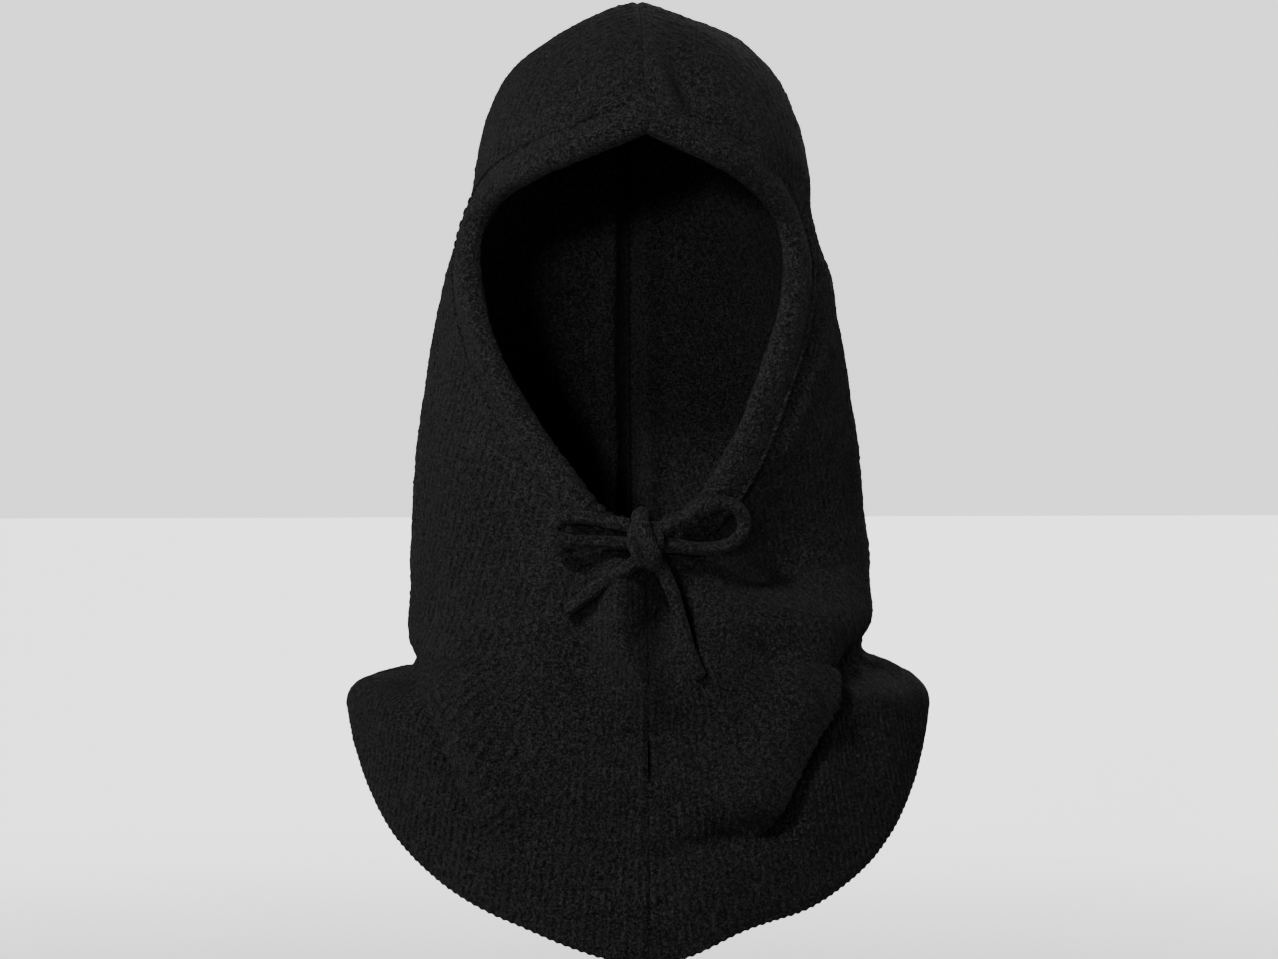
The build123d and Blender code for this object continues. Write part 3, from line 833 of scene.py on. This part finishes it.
LOOP_RIGHT = [
    Kf(1.0, -1.6, 207.4), Kf(11.0, -0.4, 209.8), Kf(21.5, 2.4, 215.4), Kf(33.0, 6.2, 220.8), Kf(43.0, 9.6, 219.4),
    Kf(48.4, 11.4, 211.4), Kf(45.4, 10.2, 203.2), Kf(35.5, 7.6, 198.2), Kf(23.0, 4.6, 198.4), Kf(11.5, 3.2, 200.4),
    Kf(1.0, 2.2, 201.2),
]
LOOP_LEFT = [
    Kf(-1.0, -1.6, 208.2), Kf(-11.0, -0.4, 210.4), Kf(-21.0, 3.0, 212.6), Kf(-30.0, 6.6, 213.8), Kf(-37.8, 9.0, 213.6),
    Kf(-45.0, 7.4, 209.8), Kf(-45.4, 2.4, 204.4), Kf(-38.6, 0.8, 202.0), Kf(-30.0, 2.2, 202.4), Kf(-21.0, 3.2, 201.8),
    Kf(-11.0, 3.4, 201.4), Kf(-1.0, 2.2, 201.4),
]
TAIL_LEFT = [
    Kf(-1.0, -0.6, 197.2), Kf(-7.0, -1.2, 191.0), on_fabric(-14.6, 186.2, 3.2), on_fabric(-23.0, 180.8, 1.4),
    on_fabric(-30.4, 174.8, 1.2), on_fabric(-37.8, 169.2, 1.2),
]
TAIL_RIGHT = [
    Kf(1.0, 0.0, 198.0), Kf(6.0, 0.4, 190.6), on_fabric(11.0, 181.6, 2.0), on_fabric(14.8, 169.6, 1.2),
    on_fabric(17.8, 157.6, 1.2), on_fabric(20.4, 147.4, 1.2), on_fabric(25.2, 138.0, 1.2),
]


def length_of(P):
    return float(np.linalg.norm(np.diff(P, axis=0), axis=1).sum())


def trim_to_knot(P, start, end):
    """Cuts the line where it enters the knot, as the CAD tube is cut."""
    d = np.hypot(np.hypot(P[:, 0], P[:, 1] - KNOT_Y), np.maximum(0, np.abs(P[:, 2] - KNOT_H) - 5.6))
    outside = np.where(d > KNOT_R + 0.5)[0]
    a = outside[0] if start else 0
    b = outside[-1] + 1 if end else len(P)
    return P[a:b]


def bow_piece(name, route, node, far_end, seed, end_round):
    P = spline_points(route)
    P = trim_to_knot(P, True, far_end == "object")
    n = len(P)
    r = np.full(n, CORD_D / 2)
    s = np.linspace(0, 1, n)
    r = r * (1 + 0.05 * np.sin(s * 9 + seed) + 0.03 * np.sin(s * 23 + seed * 2))
    v, f, w = tube(name, P, r, seed=seed, close=(True, True))
    ob = make_mesh_mixed(name, v, f, {"rib": w})
    body = {"bow_loop_left": "loop_left", "bow_loop_right": "loop_right", "bow_tail_left": "tail_left", "bow_tail_right": "tail_right"}[node]
    finish_piece(ob, body, MAT_CORD, "cord_knit", node)
    row = to_row(P)
    return ob


bow_piece("bow_loop_left_cord", LOOP_LEFT, "bow_loop_left", "object", 3, True)
bow_piece("bow_loop_right_cord", LOOP_RIGHT, "bow_loop_right", "object", 5, True)
bow_piece("bow_tail_left_cord", TAIL_LEFT, "bow_tail_left", "bare", 8, True)
bow_piece("bow_tail_right_cord", TAIL_RIGHT, "bow_tail_right", "bare", 13, True)

# ------------------------------------------------------------------ panels
left, QL, NL = make_panel(-1, "hood_panel_left_knit")
right, QR, NR = make_panel(1, "hood_panel_right_knit")
finish_piece(left, "hood", MAT_KNIT, "knit", "hood_panel_left")
finish_piece(right, "hood", MAT_KNIT, "knit", "hood_panel_right")

# ------------------------------------------------------------------ casing round the face
def casing_line(side, n=420):
    """Smooth line of the casing in one half, from the throat to the point at the top."""
    pts = [(-x, float(front_y(x, h, FABRIC / 2)), h) for x, h in casing_path(side)]
    pts = np.array(pts)
    # Catmull-Rom through the points
    P = np.vstack([2 * pts[0] - pts[1], pts, 2 * pts[-1] - pts[-2]])
    out = []
    for i in range(1, len(P) - 2):
        t = np.linspace(0, 1, 30, endpoint=False)[:, None]
        a, b, c, d = P[i - 1], P[i], P[i + 1], P[i + 2]
        out.append(0.5 * ((2 * b) + (-a + c) * t + (2 * a - 5 * b + 4 * c - d) * t**2 + (-a + 3 * b - 3 * c + d) * t**3))
    out.append(P[-2][None])
    L = np.concatenate(out)
    L = resample(L, length_of(L) / n)[0]
    if side > 0:
        L = L * np.array([-1, 1, 1])
    return L


def make_casing(side, name):
    P = casing_line(side)
    n = len(P)
    T = np.gradient(P, axis=0)
    T /= np.linalg.norm(T, axis=1)[:, None]
    # outward normal of the form at the line
    th = np.arcsin(np.clip(np.abs(P[:, 0]) / extents(P[:, 2])[0], 0, 1))
    e = 0.02
    a = surface(th + e, P[:, 2]) - surface(th - e, P[:, 2])
    b = surface(th, P[:, 2] + 1) - surface(th, P[:, 2] - 1)
    a[:, 0] *= side
    b[:, 0] *= side
    nrm = np.cross(a, b)
    nrm /= np.linalg.norm(nrm, axis=1)[:, None]
    nrm *= np.where(nrm[:, 1] > 0, -1, 1)[:, None]
    for _ in range(30):
        nrm[1:-1] = (nrm[:-2] + nrm[1:-1] + nrm[2:]) / 3
    N = nrm - T * (nrm * T).sum(1)[:, None]
    N /= np.linalg.norm(N, axis=1)[:, None]
    B = np.cross(T, N)
    mid = np.array([0, -90.0, 310.0])
    B *= np.where(((P - mid) * B).sum(1) < 0, -1, 1)[:, None]  # away from the opening
    seg = 84
    s = np.concatenate([[0], np.cumsum(np.linalg.norm(np.diff(P, axis=0), axis=1))])
    u = s / s[-1]
    # section (away from the opening, out of the face): a flat turned band with a ridge where it is linked down
    sec = np.array([
        (10.6, 1.2), (9.9, 2.7), (8.9, 3.5), (7.7, 3.1), (5.6, 3.9), (2.6, 4.9), (-0.8, 5.5), (-4.0, 5.2), (-6.6, 3.7),
        (-8.1, 1.3), (-8.3, -1.4), (-7.0, -4.0), (-4.2, -5.6), (-0.6, -6.0), (3.4, -5.6), (7.0, -4.2), (9.4, -2.2), (10.4, -0.6)])
    loop = np.vstack([sec[-2:], sec, sec[:3]])
    fine = []
    for i in range(2, 2 + len(sec)):
        t4 = np.linspace(0, 1, 12, endpoint=False)[:, None]
        a4, b4, c4, d4 = loop[i - 1], loop[i], loop[i + 1], loop[i + 2]
        fine.append(0.5 * ((2 * b4) + (-a4 + c4) * t4 + (2 * a4 - 5 * b4 + 4 * c4 - d4) * t4**2 + (-a4 + 3 * b4 - 3 * c4 + d4) * t4**3))
    fine = np.concatenate(fine)
    fs_ = np.concatenate([[0], np.cumsum(np.linalg.norm(np.diff(np.vstack([fine, fine[:1]]), axis=0), axis=1))])
    us = np.linspace(0, fs_[-1], seg, endpoint=False)
    closed = np.vstack([fine, fine[:1]])
    sb, sn = np.interp(us, fs_, closed[:, 0]), np.interp(us, fs_, closed[:, 1])
    rad = np.hypot(sb, sn)
    ub, un = sb / rad, sn / rad
    # narrower where it is gathered at the throat
    scale_b = 1 - 0.22 * np.exp(-u / 0.07) - 0.05 * np.exp(-(1 - u) / 0.05)
    scale_n = 1 - 0.12 * np.exp(-u / 0.07)
    gather = 0.75 * np.exp(-u[:, None] / 0.10) * np.sin(s[:, None] * 2 * np.pi / 7.4 + 1.3 * np.sin(s[:, None] / 9.0) + sb[None, :] * 0.12)
    wav = 0.55 * np.sin(s / 19.0 + side) + 0.35 * np.sin(s / 8.7 + 2 * side)
    ph = us[None, :] / 3.6 * 2 * np.pi + s[:, None] * 0.05
    rib = 0.5 + 0.5 * np.cos(ph)
    course = 0.5 + 0.5 * np.cos(2 * np.pi * s[:, None] / 3.3 + 1.6 * np.cos(ph))
    rel = 0.16 * (rib - 0.5) + 0.14 * (course - 0.5) * rib
    grow = gather + rel + 0.35 * wav[:, None]
    off_w = sb[None, :] * scale_b[:, None] + ub[None, :] * grow
    off_t = sn[None, :] * scale_n[:, None] + un[None, :] * grow
    ring = P[:, None, :] + B[:, None, :] * off_w[..., None] + N[:, None, :] * off_t[..., None]
    flat = (ring * np.array([side, 1, 1])).reshape(-1, 3)
    lump = (noise(flat, 2.2, 51 + side, 2).reshape(n, seg) * 0.34 + noise(flat, 8.0, 61 + side, 2).reshape(n, seg) * 0.5
            + RNG.normal(0.0, 0.08, (n, seg)))
    d = ring - P[:, None, :]
    ring = ring + d / np.linalg.norm(d, axis=2)[..., None] * lump[..., None]
    # meet the other half squarely at the point, and on the mid plane
    reach = (ring[-1, :, 0] * side - 0.05) / max(0.3, abs(T[-1, 0]))
    near = np.clip(1 - (s[-1] - s) / 9.0, 0, 1)
    ring = ring + T[-1] * (near[:, None] * reach[None, :])[..., None]
    if side < 0:
        ring[..., 0] = np.minimum(ring[..., 0], -0.05)
    else:
        ring[..., 0] = np.maximum(ring[..., 0], 0.05)
    faces = grid_faces(seg, n, wrap_u=True)
    if side < 0:
        faces = faces[:, ::-1]
    # mouth at the throat: turn the rim in, and close the far end flat
    verts = [ring.reshape(-1, 3)]
    fl = [faces]
    cnt = n * seg
    prev = np.arange(seg)
    for k, (f, push) in enumerate(((0.80, 1.1), (0.62, 0.4), (0.56, -3.0), (0.5, -9.0))):
        c0 = ring[0].mean(0)
        cap = c0 + (ring[0] - c0) * f - T[0] * push
        verts.append(cap)
        cur = np.arange(seg) + cnt
        cnt += seg
        q = np.stack([prev, np.roll(prev, -1), np.roll(cur, -1), cur], -1)
        fl.append(q if side < 0 else q[:, ::-1])
        prev = cur
    tip = np.full(seg, cnt)
    verts.append(verts[-1].mean(0)[None])
    cnt += 1
    fl.append(np.stack([prev, np.roll(prev, -1), tip, tip], -1))
    last = np.arange(seg) + (n - 1) * seg
    verts.append(ring[-1].mean(0)[None])
    tip = np.full(seg, cnt)
    cnt += 1
    fl.append(np.stack([last, np.roll(last, -1), tip, tip], -1))
    verts = np.concatenate(verts)
    faces = np.concatenate(fl)
    w = np.concatenate([rib.ravel() * 1.0 if rib.shape == (n, seg) else np.broadcast_to(rib, (n, seg)).ravel(), np.full(len(verts) - n * seg, 0.4)])
    ob = make_mesh_mixed(name, verts, faces, {"rib": w})
    return ob, P, N, B, T


cl, PL, CNL, CBL, CTL = make_casing(-1, "face_casing_left_roll")
cr, PR, CNR, CBR, CTR = make_casing(1, "face_casing_right_roll")
finish_piece(cl, "hood", MAT_CASING_PAINTED_SHEEN, "casing_knit", "face_casing_left")
finish_piece(cr, "hood", MAT_CASING_PAINTED_SHEEN, "casing_knit", "face_casing_right")


# ------------------------------------------------------------------ stitches
def stitch_row(name, centres, along, out, length=3.6, radius=0.62, bow=0.5, seg=8, extra=None):
    """Short rounded yarn stitches, each lying on `centres` and running in direction `along`."""
    k = 7
    t = np.linspace(-0.5, 0.5, k)
    prof = np.sqrt(np.maximum(0.0, 1 - (2 * t) ** 4)) * 0.9 + 0.1
    a = np.linspace(0, 2 * np.pi, seg, endpoint=False)
    side = np.cross(along, out)
    side /= np.linalg.norm(side, axis=1)[:, None]
    V, F = [], []
    for j in range(len(centres)):
        line = centres[j] + along[j] * (t * length)[:, None] + out[j] * (bow * (1 - (2 * t) ** 2))[:, None]
        r = radius * prof
        ring = (
            line[:, None, :]
            + side[j] * (np.cos(a)[None, :] * r[:, None])[..., None]
            + out[j] * (np.sin(a)[None, :] * r[:, None])[..., None]
        )
        base = j * k * seg
        V.append(ring.reshape(-1, 3))
        F.append(grid_faces(seg, k, wrap_u=True) + base)
        F.append((np.arange(seg)[::-1] + base)[[0, 1, 2, 3]][None])
        F.append((np.arange(seg)[::-1] + base)[[0, 3, 4, 7]][None])
        F.append((np.arange(seg)[::-1] + base)[[4, 5, 6, 7]][None])
        e = base + (k - 1) * seg
        F.append((np.arange(seg) + e)[[0, 1, 2, 3]][None])
        F.append((np.arange(seg) + e)[[0, 3, 4, 7]][None])
        F.append((np.arange(seg) + e)[[4, 5, 6, 7]][None])
    if extra is not None:
        F.append(extra[1] + len(centres) * k * seg)
        V.append(extra[0])
    V = np.concatenate(V)
    return make_mesh(name, V, np.concatenate(F), {"rib": np.full(len(V), 0.5)})


def casing_stitches(name, P, N, B, T, node):
    s = np.concatenate([[0], np.cumsum(np.linalg.norm(np.diff(P, axis=0), axis=1))])
    u = np.arange(4.0, s[-1] - 3.0, 3.7)
    pick = lambda A: np.stack([np.interp(u, s, A[:, k]) for k in range(3)], -1)
    C = pick(P) + pick(B) * (9.1 * (1 - 0.22 * np.exp(-u / s[-1] / 0.07)))[:, None] + pick(N) * 3.3
    t = pick(T)
    b = pick(B)
    d = t * 0.97 + b * 0.22
    d /= np.linalg.norm(d, axis=1)[:, None]
    o = pick(N)
    ob = stitch_row(name, C, d, o, length=4.4, radius=0.72, bow=0.15)
    finish_piece(ob, "hood", MAT_CASING_PAINTED_SHEEN, "casing_knit", node)
    return ob


casing_stitches("casing_stitches_left_yarn", PL, CNL, CBL, CTL, "casing_stitches_left")
casing_stitches("casing_stitches_right_yarn", PR, CNR, CBR, CTR, "casing_stitches_right")


def mid_line(th, h_from, h_to, n=600):
    """Points of the finished form on the mid plane, front (th 0) or back (th pi)."""
    h = np.linspace(h_from, h_to, n)
    q = form(1, np.full(n, th), h)
    q2 = form(-1, np.full(n, th), h)
    m = (q + q2 * np.array([-1, 1, 1])) / 2
    m[:, 0] = 0
    return m


def seam_piece(name, line, node, depth=1.9, width=0.55, step=3.1):
    """A sunk row of linking stitches, chevrons leaning on each other along the seam."""
    P, u = resample(line, 0.4)
    T = np.gradient(P, axis=0)
    T /= np.linalg.norm(T, axis=1)[:, None]
    X = np.array([1.0, 0, 0])
    N = np.cross(T, X)
    N /= np.linalg.norm(N, axis=1)[:, None]
    c = np.array([0, 5.0, 250.0])
    N *= np.where(((P - c) * N).sum(1) < 0, -1, 1)[:, None]
    k = np.arange(1.5, u[-1] - 1.0, step)
    pick = lambda A: np.stack([np.interp(k, u, A[:, i]) for i in range(3)], -1)
    C, t, o = pick(P), pick(T), pick(N)
    t /= np.linalg.norm(t, axis=1)[:, None]
    o /= np.linalg.norm(o, axis=1)[:, None]
    out = []
    A, D, O = [], [], []
    for sgn in (-1, 1):
        A.append(C - o * depth + X * sgn * 0.45)
        d = t * 0.9 - X * sgn * 0.42
        D.append(d / np.linalg.norm(d, axis=1)[:, None])
        O.append(o)
    # and the tight strip of linked loops that closes the seam
    q, _ = resample(P, 2.0)
    Tq = np.gradient(q, axis=0)
    Tq /= np.linalg.norm(Tq, axis=1)[:, None]
    Nq = np.cross(Tq, X)
    Nq /= np.linalg.norm(Nq, axis=1)[:, None]
    Nq *= np.where(((q - c) * Nq).sum(1) < 0, -1, 1)[:, None]
    m = len(q)
    strip = np.concatenate([q + X * dx - Nq * dz for dx, dz in ((-0.7, 1.9), (0.7, 1.9), (0.7, 2.4), (-0.7, 2.4))])
    i = np.arange(m - 1)
    sf = [np.stack([a * m + i, b * m + i, b * m + i + 1, a * m + i + 1], -1) for a, b in ((0, 1), (1, 2), (2, 3), (3, 0))]
    sf += [np.array([[0, m, 2 * m, 3 * m]]), np.array([[m - 1, 4 * m - 1, 3 * m - 1, 2 * m - 1]])]
    ob = stitch_row(name, np.concatenate(A), np.concatenate(D), np.concatenate(O), length=step * 1.12, radius=width, bow=0.3,
                    extra=(strip, np.concatenate(sf)))
    finish_piece(ob, "hood", MAT_YARN, "seam_yarn", node)
    return ob


seam_piece("front_seam_stitches", mid_line(0.0, 1.5, 199.0), "front_seam_yarn")
_front = mid_line(0.0, 412.5, 462.0)
_back = mid_line(math.pi, 462.0, 1.5)
_top = np.concatenate([_front, _back])
cut = len(_front)
seam_piece("crown_seam_stitches", _front, "crown_seam_yarn")
seam_piece("back_seam_stitches", _back, "back_seam_yarn")

# ------------------------------------------------------------------ knot and the cord ends that leave the casing
def ring_tube(name, pts, r, seed, step=0.8, close=(True, True)):
    P = spline_points(pts, step)
    n = len(P)
    v, f, w = tube(name, P, np.full(n, r), seed=seed, close=close)
    return v, f, w


def join_parts(parts):
    V, F, W = [], [], []
    base = 0
    for v, f, w in parts:
        V.append(v)
        F.append(f + base)
        W.append(w)
        base += len(v)
    return np.concatenate(V), np.concatenate(F), np.concatenate(W)


KH = KNOT_H
knot_parts = [
    # the wrap over the front, upper left to lower right, closed behind
    ring_tube("a", [
        Kf(-1.0, 3.6, 213.0), Kf(-3.2, -0.6, 216.0), Kf(-3.6, -5.2, 213.0), Kf(-1.8, -7.6, 206.5), Kf(1.0, -7.8, 200.0),
        Kf(3.0, -6.2, 194.4), Kf(3.4, -2.0, 191.4), Kf(1.6, 2.6, 192.6), Kf(0.0, 4.0, 199.0), Kf(-0.6, 4.6, 206.0), Kf(-1.0, 3.6, 213.0)], 4.1, 21),
    # the second turn of the wrap, on the left of the first
    ring_tube("f", [
        Kf(-3.6, 0.4, 211.4), Kf(-6.0, -2.6, 209.6), Kf(-6.6, -5.0, 203.6), Kf(-5.0, -5.2, 197.0), Kf(-2.4, -3.0, 192.6), Kf(0.4, 0.4, 191.6)], 3.3, 26),
    ring_tube("g", [Kf(0.4, 0.6, 209.6), Kf(4.2, -2.2, 207.6), Kf(5.4, -3.6, 202.6), Kf(4.4, -2.0, 197.4), Kf(1.0, 0.6, 195.0)], 3.1, 27),
    # the strands that go into the two loops and the body of the knot
    ring_tube("b", [Kf(-8.2, 0.6, 209.0), Kf(-3.0, -1.8, 209.6), Kf(3.0, -1.6, 208.4), Kf(8.2, 0.4, 208.6)], 3.5, 22),
    ring_tube("c", [Kf(-8.0, 2.4, 200.6), Kf(-3.0, 0.6, 201.8), Kf(3.0, 0.6, 202.0), Kf(8.0, 2.4, 200.0)], 3.5, 23),
    ring_tube("d", [Kf(-3.8, 0.2, 193.6), Kf(-2.0, -1.2, 198.0), Kf(1.0, -1.4, 203.0)], 3.5, 24),
    ring_tube("e", [Kf(3.6, 0.8, 193.0), Kf(2.4, 0.6, 197.0), Kf(0.0, 1.0, 203.0)], 3.5, 25),
]
v, f, w = join_parts(knot_parts)
knot = make_mesh_mixed("bow_knot_wraps", v, f, {"rib": w})
finish_piece(knot, "hood", MAT_CORD, "cord_knit", "bow_knot")


def drawstring():
    """The cord inside both casings, and its two ends that come forward into the knot."""
    parts = []
    L = casing_line(-1)
    LR = casing_line(1)
    lead = np.array([(-3.6, KNOT_Y + 4.0, 206.8), (-3.9, L[0][1] - 2.6, 206.7), (-9.6, L[0][1], 206.5)])
    whole = []
    P = np.concatenate([lead[:2], L, LR[::-1][1:], (lead[:2] * np.array([-1, 1, 1]))[::-1]])
    P, _ = resample(P, 1.2)
    for _ in range(6):
        P[1:-1] = (P[:-2] + 2 * P[1:-1] + P[2:]) / 4
    return tube("run", P, 3.35, segments=24, wales=5, seed=31)


v, f, w = drawstring()
run = make_mesh_mixed("drawstring_in_casing", v, f, {"rib": w})
finish_piece(run, "hood", MAT_CORD, "cord_knit", "drawstring_run")

# ------------------------------------------------------------------ area of one skin of the left knitted half
AREA = sum(p.area for p in left.data.polygons) / 2

# ------------------------------------------------------------------ floor, world and lights
HORIZON, OVERHEAD, KEY, FRONT, FACE = 1.7, 0.04, 10.4, 2.2, 860.0


def stage_and_light():
    z = (-150.0 - Z0) * S
    me = bpy.data.meshes.new("floor")
    R = 6.0
    me.from_pydata([(-R, -R, z), (R, -R, z), (R, R, z), (-R, R, z)], [], [(0, 1, 2, 3)])
    floor = bpy.data.objects.new("floor", me)
    bpy.context.collection.objects.link(floor)
    m, nt, b = nodes_of("floor_white_painted_shade")
    # painted shade: the floor is darker close to the middle and grows pale from 0.7 to 1.9 m out, a dark patch under
    # the object that also cuts the bounce light onto its underside
    ftc = nt_ = m.node_tree.nodes.new("ShaderNodeTexCoord")
    ln = m.node_tree.nodes.new("ShaderNodeVectorMath")
    ln.operation = "LENGTH"
    m.node_tree.links.new(ftc.outputs["Object"], ln.inputs[0])
    floor_shade_ramp = m.node_tree.nodes.new("ShaderNodeMapRange")
    floor_shade_ramp.interpolation_type = "SMOOTHSTEP"
    floor_shade_ramp.inputs["From Min"].default_value = 0.7
    floor_shade_ramp.inputs["From Max"].default_value = 1.9
    floor_shade_ramp.inputs["To Min"].default_value = 0.42
    floor_shade_ramp.inputs["To Max"].default_value = 0.97
    m.node_tree.links.new(ln.outputs["Value"], floor_shade_ramp.inputs["Value"])
    m.node_tree.links.new(floor_shade_ramp.outputs[0], b.inputs["Base Color"])
    b.inputs["Roughness"].default_value = 0.8
    b.inputs["Specular IOR Level"].default_value = 0.1
    me.materials.append(m)
    w = bpy.data.worlds.new("studio")
    bpy.context.scene.world = w
    w.use_nodes = True
    nt = w.node_tree
    bg = nt.nodes["Background"]
    bg.inputs[0].default_value = (1, 1, 1, 1)
    # a bright band at the horizon, softer overhead
    tc = nt.nodes.new("ShaderNodeTexCoord")
    sep = nt.nodes.new("ShaderNodeSeparateXYZ")
    nt.links.new(tc.outputs["Generated"], sep.inputs[0])
    mr = nt.nodes.new("ShaderNodeMapRange")
    mr.interpolation_type = "SMOOTHSTEP"
    mr.inputs["From Min"].default_value = 0.06
    mr.inputs["From Max"].default_value = 0.22
    mr.inputs["To Min"].default_value = HORIZON
    mr.inputs["To Max"].default_value = OVERHEAD
    nt.links.new(sep.outputs["Z"], mr.inputs["Value"])
    nt.links.new(mr.outputs[0], bg.inputs[1])

    def sun(name, azimuth, elevation, energy, angle):
        d = bpy.data.lights.new(name, "SUN")
        d.energy = energy
        d.angle = math.radians(angle)
        o = bpy.data.objects.new(name, d)
        bpy.context.collection.objects.link(o)
        az, el = math.radians(azimuth), math.radians(elevation)
        v = -Vector((math.sin(az) * math.cos(el), -math.cos(az) * math.cos(el), math.sin(el)))
        o.rotation_euler = v.to_track_quat("-Z", "Y").to_euler()

    sun("key", -32, 38, KEY, 11)
    sun("front", -16, 8, FRONT, 10)
    sun("back_light", 158, 28, 3.0, 30)
    sun("side_light", 112, 10, 1.4, 18)
    # a narrow soft spot into the face opening
    d = bpy.data.lights.new("face_spot", "SPOT")
    d.energy = FACE
    d.spot_size = math.radians(6.4)
    d.spot_blend = 1.0
    d.shadow_soft_size = 0.16
    o = bpy.data.objects.new("face_spot", d)
    bpy.context.collection.objects.link(o)
    o.location = (-0.55, -2.4, 0.22)
    v = Vector((0.012, -0.02, -0.135)) - o.location
    o.rotation_euler = v.to_track_quat("-Z", "Y").to_euler()


stage_and_light()

print("panel skin area", AREA)
